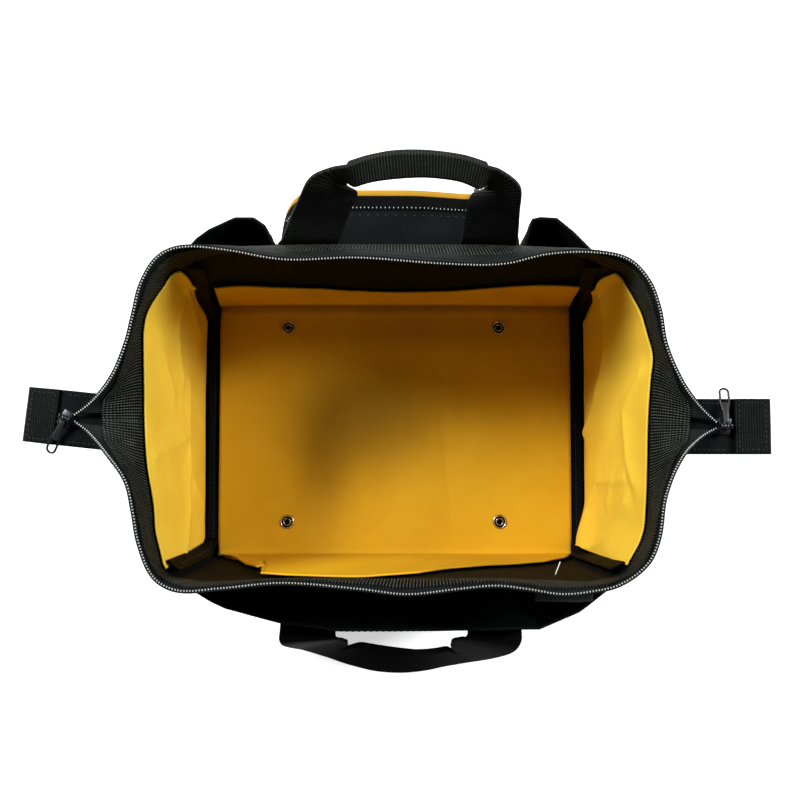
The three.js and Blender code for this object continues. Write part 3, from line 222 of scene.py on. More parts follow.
def slack(x, y, z):
    """How far the slack cloth of a wall stands in or out at a place: broad dents and finer puckers."""
    fade = min(max((WALL_TOP - z) / 30, 0), 1) * min(max((z - BASE_UNDER) / 30, 0), 1)
    broad = noise.noise(Vector((x / 95, y / 95, z / 70)))
    fine = noise.noise(Vector((x / 26 + 7, y / 26, z / 40)))
    return fade * (1.5 * broad + 0.5 * fine)


def belly(x, z):
    """How far the front wall bellies out behind its pocket."""
    up = min(max((z - BASE_UNDER) / (WALL_TOP - BASE_UNDER), 0), 1)
    return FRONT_BELLY * math.exp(-((x + 40) / 80) ** 2) * math.sin(math.pi * up ** 1.4) ** 2


def wall_point(share, side, z, inset=0):
    """A point on the outer face of the walls, which curves in under the base, or `inset` inside it."""
    x, y, nx, ny, swell = ring_plan(share, side)
    below = max(BASE_UNDER + BASE_EDGE_RADIUS - z, 0)
    tuck = BASE_EDGE_RADIUS - math.sqrt(max(BASE_EDGE_RADIUS ** 2 - below ** 2, 0))
    out = swell * swell_share(z) - tuck + slack(x, y, z) - inset
    if side == FRONT:
        out += belly(x, z) * abs(ny)
    return Vector((x + nx * out, y + ny * out, z))


def laid_sheet(name, width, length, cell, place, ring=False):
    """A sheet of cloth from a flat grid of width x length, laid where place(across, along) says.
    Its UV map holds the flat place in millimetres, so that weave and ribs follow the cloth. The cells
    are about `cell` wide and long. A ring's last column meets its first."""
    across = max(round(width / cell[0]), 1)
    along = max(round(length / cell[1]), 1)
    mesh = bmesh.new()
    flat = mesh.loops.layers.uv.new("flat_mm")
    bmesh.ops.create_grid(mesh, x_segments=across, y_segments=along, size=0.5)
    for face in mesh.faces:
        face.smooth = True
        for corner in face.loops:
            spot = corner.vert.co
            corner[flat].uv = ((spot.x + 0.5) * width, (spot.y + 0.5) * length)
    for vert in mesh.verts:
        laid = place((vert.co.x + 0.5) * width, (vert.co.y + 0.5) * length)
        vert.co = (laid + BODY_MIDDLE) * MM
    if ring:
        bmesh.ops.remove_doubles(mesh, verts=mesh.verts, dist=0.02 * MM)
    return finished(name, mesh)


def finished(name, mesh):
    """Turns a bmesh into an object of the scene."""
    data = bpy.data.meshes.new(name)
    mesh.to_mesh(data)
    mesh.free()
    piece = bpy.data.objects.new(name, data)
    bpy.context.scene.collection.objects.link(piece)
    return piece


def thicken(piece, thickness, outward=-1):
    """Gives a sheet its thickness: inwards from its face at -1, both ways at 0, outwards at 1."""
    wall = piece.modifiers.new("thickness", "SOLIDIFY")
    wall.thickness = thickness * MM
    wall.offset = outward
    return piece


def fit(piece, material, slot_name, *nodes, body="bag"):
    """Gives a piece its material and puts it on its body in place of the CAD nodes. The slot name is not used."""
    piece.data.materials.append(material)
    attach(piece, body)
    if nodes:
        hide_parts(*nodes)
    return piece


# Woven polyester, dyed black and coated: matt. Its raised yarns are painted a little lighter, a painted sheen
# along the yarns, mixed with a random dusty tone. The real yarns lie 0.6 mm apart, too fine to show, so the
# weave is drawn at 1.6 mm.
def woven_polyester(name, dark, light, pitch=1.6, roughness=0.72, depth=0.5):
    material, shader = new_material(name, Roughness=roughness, Specular_IOR_Level=0.05)
    flat = node(material, "ShaderNodeUVMap", {"uv_map": "flat_mm"})
    scale = 0.31416 / pitch
    warp = node(material, "ShaderNodeTexWave", {"bands_direction": "X", "Scale": scale}, {"Vector": flat.outputs["UV"]})
    weft = node(material, "ShaderNodeTexWave", {"bands_direction": "Y", "Scale": scale}, {"Vector": flat.outputs["UV"]})
    weave = node(material, "ShaderNodeMath", {"operation": "MULTIPLY"})
    connect(material, warp.outputs["Fac"], weave.inputs[0])
    connect(material, weft.outputs["Fac"], weave.inputs[1])
    spot = node(material, "ShaderNodeTexCoord")
    dust = node(material, "ShaderNodeTexNoise", {"Scale": 55, "Detail": 4}, {"Vector": spot.outputs["Object"]})
    # Painted sheen: the weave's raised yarns are painted lighter, over a random dusty tone.
    shade = node(material, "ShaderNodeMath", {"operation": "MULTIPLY_ADD", 1: 0.55},
                 {0: weave.outputs["Value"], 2: dust.outputs["Fac"]})
    colour = node(material, "ShaderNodeMix", {"data_type": "RGBA"})
    connect(material, shade.outputs["Value"], colour.inputs["Factor"])
    colour.inputs[6].default_value = srgb(dark)
    colour.inputs[7].default_value = srgb(light)
    connect(material, colour.outputs[2], shader.inputs["Base Color"])
    pucker = node(material, "ShaderNodeBump", {"Strength": 0.5, "Distance": 0.0012}, {"Height": dust.outputs["Fac"]})
    bump = node(material, "ShaderNodeBump", {"Strength": depth, "Distance": 0.00025},
                {"Height": weave.outputs["Value"], "Normal": pucker.outputs["Normal"]})
    connect(material, bump.outputs["Normal"], shader.inputs["Normal"])
    return material


black_polyester = woven_polyester("woven_polyester_black", "#050606", "#101515")

SEAM_TURN = 1.7


def seam_dip(distance):
    """How far a panel's edge turns in at a seam that lies `distance` away."""
    return 1.6 * math.exp(-distance / SEAM_TURN)


def towards_middle(place, amount):
    """The place moved in by an amount, level with the floor, at right angles to the nearest wall."""
    inward = Vector((-max(abs(place.x) - STRAIGHT_SIDE, 0) * math.copysign(1, place.x),
                     -max(abs(place.y) - STRAIGHT_END, 0) * math.copysign(1, place.y), 0))
    return place + inward.normalized() * amount if inward.length else place


WALL_FALL = WALL_TOP - BASE_UNDER - BASE_EDGE_RADIUS
EDGE_ARC = math.pi * BASE_EDGE_RADIUS / 2
BASE_FLAT = 2 * (HALF_WIDTH - BASE_EDGE_RADIUS)
PANEL_RUN = 2 * (WALL_FALL + EDGE_ARC) + BASE_FLAT
PANEL_MARGIN = -0.15
PANEL_WIDTH = (1 - 2 * CORNER_SHARE) * HALF_RING - 2 * PANEL_MARGIN


def height_down(fall):
    """Height above the floor, at a length of cloth down from the top seam."""
    if fall <= WALL_FALL:
        return WALL_TOP - fall
    angle = min((fall - WALL_FALL) / BASE_EDGE_RADIUS, math.pi / 2)
    return BASE_UNDER + BASE_EDGE_RADIUS * (1 - math.sin(angle))


def main_panel_place(across, along):
    share = CORNER_SHARE + (across + PANEL_MARGIN) / HALF_RING
    dip = seam_dip(min(across, PANEL_WIDTH - across))
    fall = min(along, PANEL_RUN - along)
    if fall < WALL_FALL + EDGE_ARC:
        side = BACK if along < PANEL_RUN / 2 else FRONT
        return towards_middle(wall_point(share, side, height_down(fall)), dip)
    back = wall_point(share, BACK, BASE_UNDER)
    front = wall_point(share, FRONT, BASE_UNDER)
    place = back.lerp(front, (along - WALL_FALL - EDGE_ARC) / BASE_FLAT)
    return place + Vector((0, 0, dip))


main_panel = laid_sheet("walls_and_base", PANEL_WIDTH, PANEL_RUN, (3, 4), main_panel_place)
fit(thicken(main_panel, CLOTH), black_polyester, "black_cloth", "main_panel")

END_WIDTH = 2 * (CORNER_SHARE * HALF_RING - PANEL_MARGIN)


def end_place(end, across, height):
    """A point on an end wall, `across` from one corner seam to the other, anticlockwise from above."""
    from_middle = across - END_WIDTH / 2
    side = FRONT if (from_middle > 0) == (end == LEFT) else BACK
    share = abs(from_middle) / HALF_RING
    return wall_point(share if end == LEFT else 1 - share, side, height)


for end, name in ((LEFT, "left"), (RIGHT, "right")):
    panel = laid_sheet(
        f"end_wall_{name}", END_WIDTH, WALL_FALL + EDGE_ARC, (3, 4),
        lambda across, along: towards_middle(
            end_place(end, across, height_down(WALL_FALL + EDGE_ARC - along)),
            seam_dip(min(across, END_WIDTH - across))))
    fit(thicken(panel, CLOTH), black_polyester, "black_cloth", f"end_panel_{name}")

# Lined base board
# A stiff board wrapped in yellow lining lies on the base cloth. The lining's margins turn up at the
# front and the back, where the front one is sewn down with two rows of running stitch.
BASE_TOP = BASE_UNDER + CLOTH
LAYER_GAP = 0.7
BOARD_LENGTH = 305.6
BOARD_THICKNESS = 2.8
BOARD_FOLD_RADIUS = 4
BOARD_TOP = BASE_TOP + LAYER_GAP + BOARD_THICKNESS
FLAP_TAPER = 0.08
FLAP_HEIGHTS = (
    (-1, 0.05, 0.54), (-0.94, 0.16, 0.52), (-0.84, 0.4, 0.47), (-0.76, 0.48, 0.44), (-0.73, 0.4, 0.43),
    (-0.715, 0.66, 0.42), (-0.3, 0.67, 0.34), (0, 0.67, 0.31), (0.12, 0.66, 0.31), (0.3, 0.52, 0.32),
    (0.6, 0.42, 0.4), (0.85, 0.34, 0.5), (1, 0.22, 0.62),
)


def from_rows(rows, place, column):
    """A column's value at a place, between rows sorted by their first column."""
    if place <= rows[0][0]:
        return rows[0][column]
    for before, after in zip(rows, rows[1:]):
        if place <= after[0]:
            share = (place - before[0]) / (after[0] - before[0])
            return before[column] + (after[column] - before[column]) * share
    return rows[-1][column]


FLAT_HALF = HALF_WIDTH - BASE_EDGE_RADIUS
FLAP_RUN = 0.67 * (WALL_TOP - BOARD_TOP)
FOLD_RUN = 8.5
LINER_RUN = 2 * (FLAT_HALF + FOLD_RUN + FLAP_RUN)


def board_dent(x, y):
    """The board's slight hollows and the faint creases in its lining."""
    soft = 0.7 * noise.noise(Vector((x / 70, y / 55, 3)))
    crease = 0.35 * math.exp(-((y + 0.12 * x - 34) / 5) ** 2) + 0.3 * math.exp(-((x - 41 + 0.1 * y) / 4) ** 2)
    return soft - crease


def base_liner_place(across, along):
    x = across - BOARD_LENGTH / 2
    from_middle = along - LINER_RUN / 2
    side = FRONT if from_middle > 0 else BACK
    distance = abs(from_middle)
    wall_inside = HALF_WIDTH - CLOTH - LAYER_GAP - 1.4
    if distance <= FLAT_HALF:
        edge = min((FLAT_HALF - distance) / 25, (BOARD_LENGTH / 2 - abs(x)) / 25, 1)
        return Vector((x, side * distance, BOARD_TOP + edge * board_dent(x, side * distance)))
    if distance <= FLAT_HALF + FOLD_RUN:
        angle = (distance - FLAT_HALF) / FOLD_RUN * math.pi / 2
        return Vector((x, side * (FLAT_HALF + (wall_inside - FLAT_HALF) * math.sin(angle)),
                       BOARD_TOP + BOARD_FOLD_RADIUS * (1 - math.cos(angle))))
    part = (distance - FLAT_HALF - FOLD_RUN) / FLAP_RUN
    share = from_rows(FLAP_HEIGHTS, 2 * x / BOARD_LENGTH, 1 if side == FRONT else 2)
    z = BOARD_TOP + BOARD_FOLD_RADIUS + share * (WALL_TOP - BOARD_TOP) * part
    wall = wall_point(share_at(x), side, z)
    away = abs(wall.y) - CLOTH - LAYER_GAP - 1.4
    return Vector((x * (1 - FLAP_TAPER * part), side * away, z))


# Coated polyester lining, woven fine and dyed yellow: a soft satin gloss, slightly mottled by its
# coating, with scattered dust. Its real weave of 0.4 mm is drawn at 1.5 mm.
def coated_lining(name, dark, light):
    material, shader = new_material(name, Roughness=0.5, Specular_IOR_Level=0.12)
    flat = node(material, "ShaderNodeUVMap", {"uv_map": "flat_mm"})
    spot = node(material, "ShaderNodeTexCoord")
    mottle = node(material, "ShaderNodeTexNoise", {"Scale": 24, "Detail": 5, "Roughness": 0.6},
                  {"Vector": spot.outputs["Object"]})
    grain = node(material, "ShaderNodeTexNoise", {"Scale": 0.9, "Detail": 2}, {"Vector": flat.outputs["UV"]})
    shade = node(material, "ShaderNodeMath", {"operation": "ADD", "use_clamp": True})
    connect(material, mottle.outputs["Fac"], shade.inputs[0])
    faint = node(material, "ShaderNodeMapRange", {"To Min": -0.22, "To Max": 0.22}, {"Value": grain.outputs["Fac"]})
    connect(material, faint.outputs["Result"], shade.inputs[1])
    colour = node(material, "ShaderNodeMix", {"data_type": "RGBA"})
    connect(material, shade.outputs["Value"], colour.inputs["Factor"])
    colour.inputs[6].default_value = srgb(dark)
    colour.inputs[7].default_value = srgb(light)
    connect(material, colour.outputs[2], shader.inputs["Base Color"])
    scale = 0.31416 / 1.5
    warp = node(material, "ShaderNodeTexWave", {"bands_direction": "X", "Scale": scale}, {"Vector": flat.outputs["UV"]})
    weft = node(material, "ShaderNodeTexWave", {"bands_direction": "Y", "Scale": scale}, {"Vector": flat.outputs["UV"]})
    weave = node(material, "ShaderNodeMath", {"operation": "MULTIPLY"})
    connect(material, warp.outputs["Fac"], weave.inputs[0])
    connect(material, weft.outputs["Fac"], weave.inputs[1])
    pucker = node(material, "ShaderNodeBump", {"Strength": 0.35, "Distance": 0.002}, {"Height": mottle.outputs["Fac"]})
    bump = node(material, "ShaderNodeBump", {"Strength": 0.12, "Distance": 0.0003},
                {"Height": weave.outputs["Value"], "Normal": pucker.outputs["Normal"]})
    connect(material, bump.outputs["Normal"], shader.inputs["Normal"])
    return material


# The same yellow lining in three colours: painted lighter on the end linings and painted darker on the board and on the
# back pocket's face, as painted light and painted shade.
end_lining_painted_light = coated_lining("coated_polyester_yellow", "#EEC030", "#FFDB50")
board_lining_painted_shade = coated_lining("coated_polyester_yellow_painted_shade", "#D29E16", "#E6B52C")


def add_painted_shade(material, middle, reach, amount):
    """Lays a soft painted shade over a material's colour, round a place on the board."""
    shader = material.node_tree.nodes["Principled BSDF"]
    unshaded = shader.inputs["Base Color"].links[0].from_socket
    spot = node(material, "ShaderNodeTexCoord")
    off = node(material, "ShaderNodeVectorMath", {"operation": "SUBTRACT", 1: (middle + BODY_MIDDLE) * MM},
               {0: spot.outputs["Object"]})
    spread = node(material, "ShaderNodeVectorMath", {"operation": "DIVIDE", 1: reach * MM}, {0: off.outputs["Vector"]})
    away = node(material, "ShaderNodeVectorMath", {"operation": "LENGTH"}, {0: spread.outputs["Vector"]})
    share = node(material, "ShaderNodeMapRange", {"interpolation_type": "SMOOTHSTEP", "To Min": amount, "To Max": 0},
                 {"Value": away.outputs["Value"]})
    painted_shade_colour = node(material, "ShaderNodeMix", {"data_type": "RGBA", 7: srgb("#4A2E08")},
                  {"Factor": share.outputs["Result"], 6: unshaded})
    connect(material, painted_shade_colour.outputs[2], shader.inputs["Base Color"])


# Painted shade on the board: a broad patch in its middle, a long streak on its left, a band along its back, a dark line
# in the fold of the back margin and a band up that margin.
for middle, reach, amount in (
        ((-30, 8, 13), (105, 78, 40), 0.55), ((-62, -45, 13), (38, 110, 40), 0.34),
        ((14, 87, 13), (190, 26, 30), 0.32), ((0, FLAT_HALF + 4, 15), (600, 8, 14), 0.78),
        ((0, FLAT_HALF + 14, 60), (900, 12, 50), 0.45)):
    add_painted_shade(board_lining_painted_shade, Vector(middle), Vector(reach), amount)
base_liner = laid_sheet("lined_base_board", BOARD_LENGTH, LINER_RUN, (2.6, 2.6), base_liner_place)
fit(thicken(base_liner, 1.4), board_lining_painted_shade, "yellow_cloth", "base_liner")


# Running stitch of bonded thread: each stitch is a small grain that stands up from the cloth.
def stitch_rows(name, material, slot_name, rows, pitch=4.2, length=2.9, radius=0.42, body="bag"):
    """Stitches along rows of places. Each row is a function from 0 to 1 and the row's length."""
    mesh = bmesh.new()
    for place, run in rows:
        count = max(int(run / pitch), 1)
        for index in range(count):
            start = place((index + 0.15) / count)
            end = place((index + 0.85) / count)
            way = (end - start).normalized()
            grain = Matrix.Diagonal((length / 2 / radius, 1, 1, 1))
            turned = way.to_track_quat("X", "Z").to_matrix().to_4x4()
            middle = Matrix.Translation(((start + end) / 2 + BODY_MIDDLE) * MM)
            bmesh.ops.create_icosphere(mesh, subdivisions=1, radius=radius * MM, matrix=middle @ turned @ grain)
    for face in mesh.faces:
        face.smooth = True
    piece = finished(name, mesh)
    return fit(piece, material, slot_name, body=body)


# Bonded polyester thread: a twisted cord with a dull gloss, and the twist drawn as a fine random mottle.
def bonded_thread(name, colour):
    material, shader = new_material(name, Roughness=0.55, Specular_IOR_Level=0.15)
    spot = node(material, "ShaderNodeTexCoord")
    twist = node(material, "ShaderNodeTexNoise", {"Scale": 900, "Detail": 1}, {"Vector": spot.outputs["Object"]})
    bright = node(material, "ShaderNodeMapRange", {"To Min": 0.7, "To Max": 1.25}, {"Value": twist.outputs["Fac"]})
    tone = node(material, "ShaderNodeHueSaturation", {"Color": srgb(colour)}, {"Value": bright.outputs["Result"]})
    connect(material, tone.outputs["Color"], shader.inputs["Base Color"])
    return material


yellow_thread = bonded_thread("polyester_thread_yellow", "#A8760F")
black_thread = bonded_thread("polyester_thread_black", "#2A2E2D")
front_fold = LINER_RUN / 2 + FLAT_HALF + FOLD_RUN
board_rows = [
    (lambda part, at=at: base_liner_place(12 + part * (BOARD_LENGTH - 24), at) + Vector((0, 0.1, 0.35)),
     BOARD_LENGTH - 24)
    for at in (LINER_RUN / 2 + FLAT_HALF - 3, front_fold + 13)
]
stitch_rows("base_board_stitches", yellow_thread, "yellow_cloth", board_rows)

# End linings
# The same yellow lining hangs inside each end, sewn under the mouth band. It is cut wide, so it falls
# in a few long upright folds.
LINING_FOOT = BASE_TOP + 11
LINING_TOP = WALL_TOP - 0.3
LINING = 1.2
LINING_GAP = 1.4
CORNER_ARC = CORNER_SHARE * HALF_RING
# How far the lining stops short of the back and the front corner, at heights above the floor.
LINING_EDGES = {
    LEFT: ((20, 14, 14), (35, 4, 13), (60, -3, 12), (110, -10, 10), (150, -14, 7), (195, -14, 3)),
    RIGHT: ((20, 15, -3), (35, 6, 1), (60, -2, 4), (110, -11, 6), (150, -15, 8), (195, -11, 9)),
}
# Creases as chains of (place across the end, height), with how far each stands in and how wide it is.
CREASES = {
    LEFT: (
        (3.5, 9, ((95, 130), (62, 116), (36, 108))), (4.5, 12, ((106, 150), (92, 95), (76, 60))),
        (3, 8, ((34, 85), (0, 84), (-42, 90), (-66, 92), (-96, 120))),
        (3, 7, ((-48, 68), (-61, 45), (-76, 28))), (4, 10, ((-24, 186), (-14, 130), (-7, 88))),
        (2.2, 7, ((60, 186), (48, 150), (20, 128))),
    ),
    RIGHT: (
        (6, 13, ((106, 135), (58, 104), (22, 76), (-4, 40))), (3.2, 8, ((34, 172), (10, 145), (-26, 155), (-44, 175))),
        (3.2, 8, ((-42, 118), (-44, 70), (-64, 45), (-83, 24))), (2.6, 7, ((-40, 150), (-44, 116), (-59, 106))),
        (3.6, 9, ((-57, 155), (-86, 112), (-104, 50))),
    ),
}


def eased(share):
    held = min(max(share, 0), 1)
    return held * held * (3 - 2 * held)


def crease_depth(end, y, z):
    """How far the lining stands in from the wall: the deepest of the creases that pass a place."""
    deepest = 0
    for depth, width, chain in CREASES[end]:
        nearest = min((closest_point_on_segment(Vector((y, z)), Vector(a), Vector(b)) - Vector((y, z))).length
                      for a, b in zip(chain, chain[1:]))
        deepest = max(deepest, depth * math.exp(-nearest / width))
    fade = eased((z - LINING_FOOT) / 20) * eased((LINING_TOP - z) / 14)
    small = noise.noise(Vector((y / 20 + 3 * end, z / 70, 1.7)))
    return fade * (deepest + 1.4 * max(small, -0.2))


def closest_point_on_segment(place, start, end):
    way = end - start
    share = min(max((place - start).dot(way) / way.length_squared, 0), 1)
    return start + way * share


for end, name in ((LEFT, "left"), (RIGHT, "right")):
    def end_lining_place(across, along):
        z = LINING_FOOT + along
        share = across / (2 * CORNER_ARC)
        first_side = BACK if end == LEFT else FRONT
        first = CORNER_ARC - smooth_rows(LINING_EDGES[end], z, 1 if first_side == BACK else 2)
        last = CORNER_ARC - smooth_rows(LINING_EDGES[end], z, 2 if first_side == BACK else 1)
        arc = -first + (first + last) * share
        side = first_side if arc < 0 else -first_side
        ring_share = abs(arc) / HALF_RING
        if end == RIGHT:
            ring_share = 1 - ring_share
        wall = wall_point(ring_share, side, z)
        depth = crease_depth(end, wall.y, z)
        if end == RIGHT:
            depth += 8 * eased((-wall.y - 60) / 40) * eased((80 - z) / 60)
        return wall_point(ring_share, side, z, CLOTH + LINING_GAP + depth)

    lining = laid_sheet(
        f"end_lining_yellow_{name}", 2 * CORNER_ARC, LINING_TOP - LINING_FOOT, (1.8, 2.2), end_lining_place)
    fit(thicken(lining, LINING), end_lining_painted_light, "yellow_cloth", f"end_lining_{name}")

# Seam tapes
# Narrow ribbed tape binds the seams inside the bag: down each back corner, along the edge of the
# base and up the front corner, puckered where the stitching pulls it.
SEAM_TAPE = 11
SEAM_TAPE_THICKNESS = 1.6
SEAM_TAPE_TOP = WALL_TOP - 5


# Woven polyester webbing: thick ribs run across it, and each is a row of yarn floats. The crowns of the
# floats are painted lighter, a painted highlight where they catch the light, varied by a random tone.
# The floats are drawn 1.3 mm long.
def ribbed_webbing(name, dark, light, pitch=1.8, along="Y", depth=0.9, floats=1.3):
    material, shader = new_material(name, Roughness=0.65, Specular_IOR_Level=0.07)
    flat = node(material, "ShaderNodeUVMap", {"uv_map": "flat_mm"})
    ribs = node(material, "ShaderNodeTexWave", {
        "bands_direction": along, "Scale": 0.31416 / pitch, "Distortion": 0.35, "Detail": 2, "Detail Scale": 3,
    }, {"Vector": flat.outputs["UV"]})
    dashes = node(material, "ShaderNodeTexWave", {
        "bands_direction": "X" if along == "Y" else "Y", "Scale": 0.31416 / floats, "Distortion": 1.2, "Detail": 2,
    }, {"Vector": flat.outputs["UV"]})
    # Painted highlight: the crowns of the ribs are painted lighter.
    rib_painted_highlight = node(material, "ShaderNodeMapRange", {"From Min": 0.55}, {"Value": ribs.outputs["Fac"]})
    broken = node(material, "ShaderNodeMapRange", {"From Min": 0.2, "To Min": 0.15}, {"Value": dashes.outputs["Fac"]})
    grain = node(material, "ShaderNodeMath", {"operation": "MULTIPLY"},
                 {0: rib_painted_highlight.outputs["Result"], 1: broken.outputs["Result"]})
    wear = node(material, "ShaderNodeTexNoise", {"Scale": 0.12, "Detail": 4}, {"Vector": flat.outputs["UV"]})
    worn = node(material, "ShaderNodeMapRange", {"From Min": 0.3, "From Max": 0.7, "To Min": 0.45},
                {"Value": wear.outputs["Fac"]})
    shade = node(material, "ShaderNodeMath", {"operation": "MULTIPLY", "use_clamp": True},
                 {0: grain.outputs["Value"], 1: worn.outputs["Result"]})
    colour = node(material, "ShaderNodeMix", {"data_type": "RGBA", 6: srgb(dark), 7: srgb(light)},
                  {"Factor": shade.outputs["Value"]})
    connect(material, colour.outputs[2], shader.inputs["Base Color"])
    bump = node(material, "ShaderNodeBump", {"Strength": depth, "Distance": 0.0008}, {"Height": grain.outputs["Value"]})
    connect(material, bump.outputs["Normal"], shader.inputs["Normal"])
    return material


black_binding = ribbed_webbing("grosgrain_binding_black", "#020303", "#0F1413", pitch=1.8)
black_webbing = ribbed_webbing("polyester_webbing_black", "#050605", "#3A403C", pitch=1.9)


def smooth_path(points, steps=10):
    """A smooth line through points, as its running lengths and its places."""
    lengths = [0.0]
    places = [points[0].copy()]
    for index in range(len(points) - 1):
        start, end = points[index], points[index + 1]
        before = points[max(index - 1, 0)]
        after = points[min(index + 2, len(points) - 1)]
        reach = (end - start).length / 3
        leave = start + (end - before).normalized() * reach
        arrive = end - (after - start).normalized() * reach
        for place in interpolate_bezier(start, leave, arrive, end, steps + 1)[1:]:
            lengths.append(lengths[-1] + (place - places[-1]).length)
            places.append(place)
    return lengths, places


def along_path(path, share):
    """The place at a share of a smooth path's length."""
    lengths, places = path
    goal = min(max(share, 0), 1) * lengths[-1]
    index = min(max(bisect_right(lengths, goal) - 1, 0), len(lengths) - 2)
    part = (goal - lengths[index]) / max(lengths[index + 1] - lengths[index], 1e-9)
    return places[index].lerp(places[index + 1], part)


# How far along the main wall from the corner the tape lies, at heights above the floor.
SEAM_TAPE_LAY = {
    (LEFT, BACK): ((190, 24), (148, 19), (84, 6), (42, -3)), (LEFT, FRONT): ((190, 2), (132, 0), (76, -1), (36, -2)),
    (RIGHT, BACK): ((190, 27), (148, 22), (100, 10), (42, -3)), (RIGHT, FRONT): ((190, 5), (132, 7), (76, 8), (36, 8)),
}


def seam_tape_rows(end):
    """Middle and half-width direction of the tape, from the top of one corner to the other's."""
    rows = []
    for side in (BACK, FRONT):
        half = []
        for z, lay in SEAM_TAPE_LAY[end, side]:
            share = (CORNER_ARC + lay) / HALF_RING
            if end == RIGHT:
                share = 1 - share
            x, y, nx, ny, swell = ring_plan(share, side)
            across = Vector((end * abs(ny), -side * abs(nx), 0)) * SEAM_TAPE / 2
            half.append((wall_point(share, side, z, 5.5 + 5 * abs(nx * ny)), across))
        floor = Vector((end * (STRAIGHT_SIDE + 0.4 * CORNER_RADIUS), side * (STRAIGHT_END - 4), BASE_TOP + 4.2))
        level = Vector((end * 0.9, 0, 0.42)) * SEAM_TAPE / 2
        foot, across = half[-1]
        half += [(foot.lerp(floor, 0.6), across.lerp(level, 0.5).normalized() * SEAM_TAPE / 2), (floor, level)]
        rows += half if side == BACK else half[::-1]
    return rows[::-1] if end == LEFT else rows


for end, name in ((LEFT, "left"), (RIGHT, "right")):
    rows = seam_tape_rows(end)
    middle = smooth_path([centre for centre, across in rows])
    outer = smooth_path([centre + across for centre, across in rows])
    run = middle[0][-1]

    def seam_tape_place(across, along):
        centre = along_path(middle, along / run)
        edge = along_path(outer, along / run)
        place = centre.lerp(edge, 2 * across / SEAM_TAPE - 1)
        pucker = 0.5 * math.sin(along / 3.1) * noise.noise(Vector((along / 40, 4, end)))
        return place + Vector((-end * (0.3 + abs(pucker)), 0, 0.3 + abs(pucker)))

    tape = laid_sheet(f"seam_tape_bound_{name}", SEAM_TAPE, run, (1.8, 1.6), seam_tape_place)
    fit(thicken(tape, SEAM_TAPE_THICKNESS, 0), black_binding, "black_webbing", f"seam_tape_{name}")
    stitch_rows(
        f"seam_tape_stitches_{name}", black_thread, "black_webbing",
        [(lambda part: seam_tape_place(SEAM_TAPE / 2, part * run) + Vector((-end * 0.9, 0, 0.9)), run)], pitch=3.6)

# Feet and rivets
# Four rubber feet stand under the base. Each is held by a nickel-plated tubular rivet, whose rolled
# head shows on the lined board as a bright ring round a dished middle.
FOOT_HEIGHT = 7
FOOT_RADIUS = 11
RIVET_HEAD_RADIUS = 6
RIVET_HEAD_HEIGHT = 1.8
FOOT_PROFILE = ((0, 0), (8.2, 0), (9, 0.2), (10.6, 2.4), (11, 3.3), (11, 6.6), (10.6, 7), (0, 7))
RIVET_UNDER = BOARD_TOP + 0.3
RIVET_PROFILE = (
    (2.2, 0), (6, 0), (6.1, 1.5), (5.9, 2.1), (5.5, 2.4), (5, 2.3), (4.6, 1.8), (4.4, 1.6), (4, 1.6),
    (3.6, 1.7), (3.3, 2), (2.9, 2.2), (2.5, 2), (2.2, 1.7), (1.9, 1.55), (0, 1.55),
)

# Moulded rubber: black, dull, with a pebbled skin.
moulded_rubber, rubber_shader = new_material("moulded_rubber_black", Roughness=0.82, Base_Color=srgb("#141516"))
spot = node(moulded_rubber, "ShaderNodeTexCoord")
pebble = node(moulded_rubber, "ShaderNodeTexNoise", {"Scale": 700, "Detail": 2}, {"Vector": spot.outputs["Object"]})
bump = node(moulded_rubber, "ShaderNodeBump", {"Strength": 0.3, "Distance": 0.0003}, {"Height": pebble.outputs["Fac"]})
connect(moulded_rubber, bump.outputs["Normal"], rubber_shader.inputs["Normal"])
rub = node(moulded_rubber, "ShaderNodeMapRange", {"To Min": 0.7, "To Max": 0.92}, {"Value": pebble.outputs["Fac"]})
connect(moulded_rubber, rub.outputs["Result"], rubber_shader.inputs["Roughness"])

# Nickel plate on steel: bright and slightly warm, with fine scuffs from handling.
nickel_plate, nickel_shader = new_material(
    "nickel_plate", Metallic=1)
spot = node(nickel_plate, "ShaderNodeTexCoord")
scuffs = node(nickel_plate, "ShaderNodeTexNoise", {"Scale": 420, "Detail": 4}, {"Vector": spot.outputs["Object"]})
rub = node(nickel_plate, "ShaderNodeMapRange", {"To Min": 0.16, "To Max": 0.42}, {"Value": scuffs.outputs["Fac"]})
depth = node(nickel_plate, "ShaderNodeSeparateXYZ", {}, {"Vector": spot.outputs["Object"]})
# Painted shade: below a set height, the groove and the dished middle of each rivet head are painted near black.
unshaded = node(nickel_plate, "ShaderNodeMapRange", {
    "From Min": (RIVET_UNDER + 1.8) * MM, "From Max": (RIVET_UNDER + 2.3) * MM}, {"Value": depth.outputs["Z"]})
recess_painted_shade = node(nickel_plate, "ShaderNodeMix", {"data_type": "RGBA", 6: srgb("#15110B"), 7: srgb("#D8D3C6")},
               {"Factor": unshaded.outputs["Result"]})
connect(nickel_plate, recess_painted_shade.outputs[2], nickel_shader.inputs["Base Color"])
connect(nickel_plate, rub.outputs["Result"], nickel_shader.inputs["Roughness"])


def turned(mesh, profile, centre, steps=40):
    """Adds a turned shape to a bmesh: a profile of (radius, height) rows spun round an upright axis."""
    added = [mesh.verts.new((Vector((radius, 0, height)) + centre) * MM) for radius, height in profile]
    edges = [mesh.edges.new(pair) for pair in zip(added, added[1:])]
    bmesh.ops.spin(mesh, geom=added + edges, cent=centre * MM, axis=(0, 0, 1), angle=math.tau, steps=steps, use_merge=True)
    bmesh.ops.remove_doubles(mesh, verts=mesh.verts, dist=0.01 * MM)
    bmesh.ops.recalc_face_normals(mesh, faces=mesh.faces)
    for face in mesh.faces:
        face.smooth = True


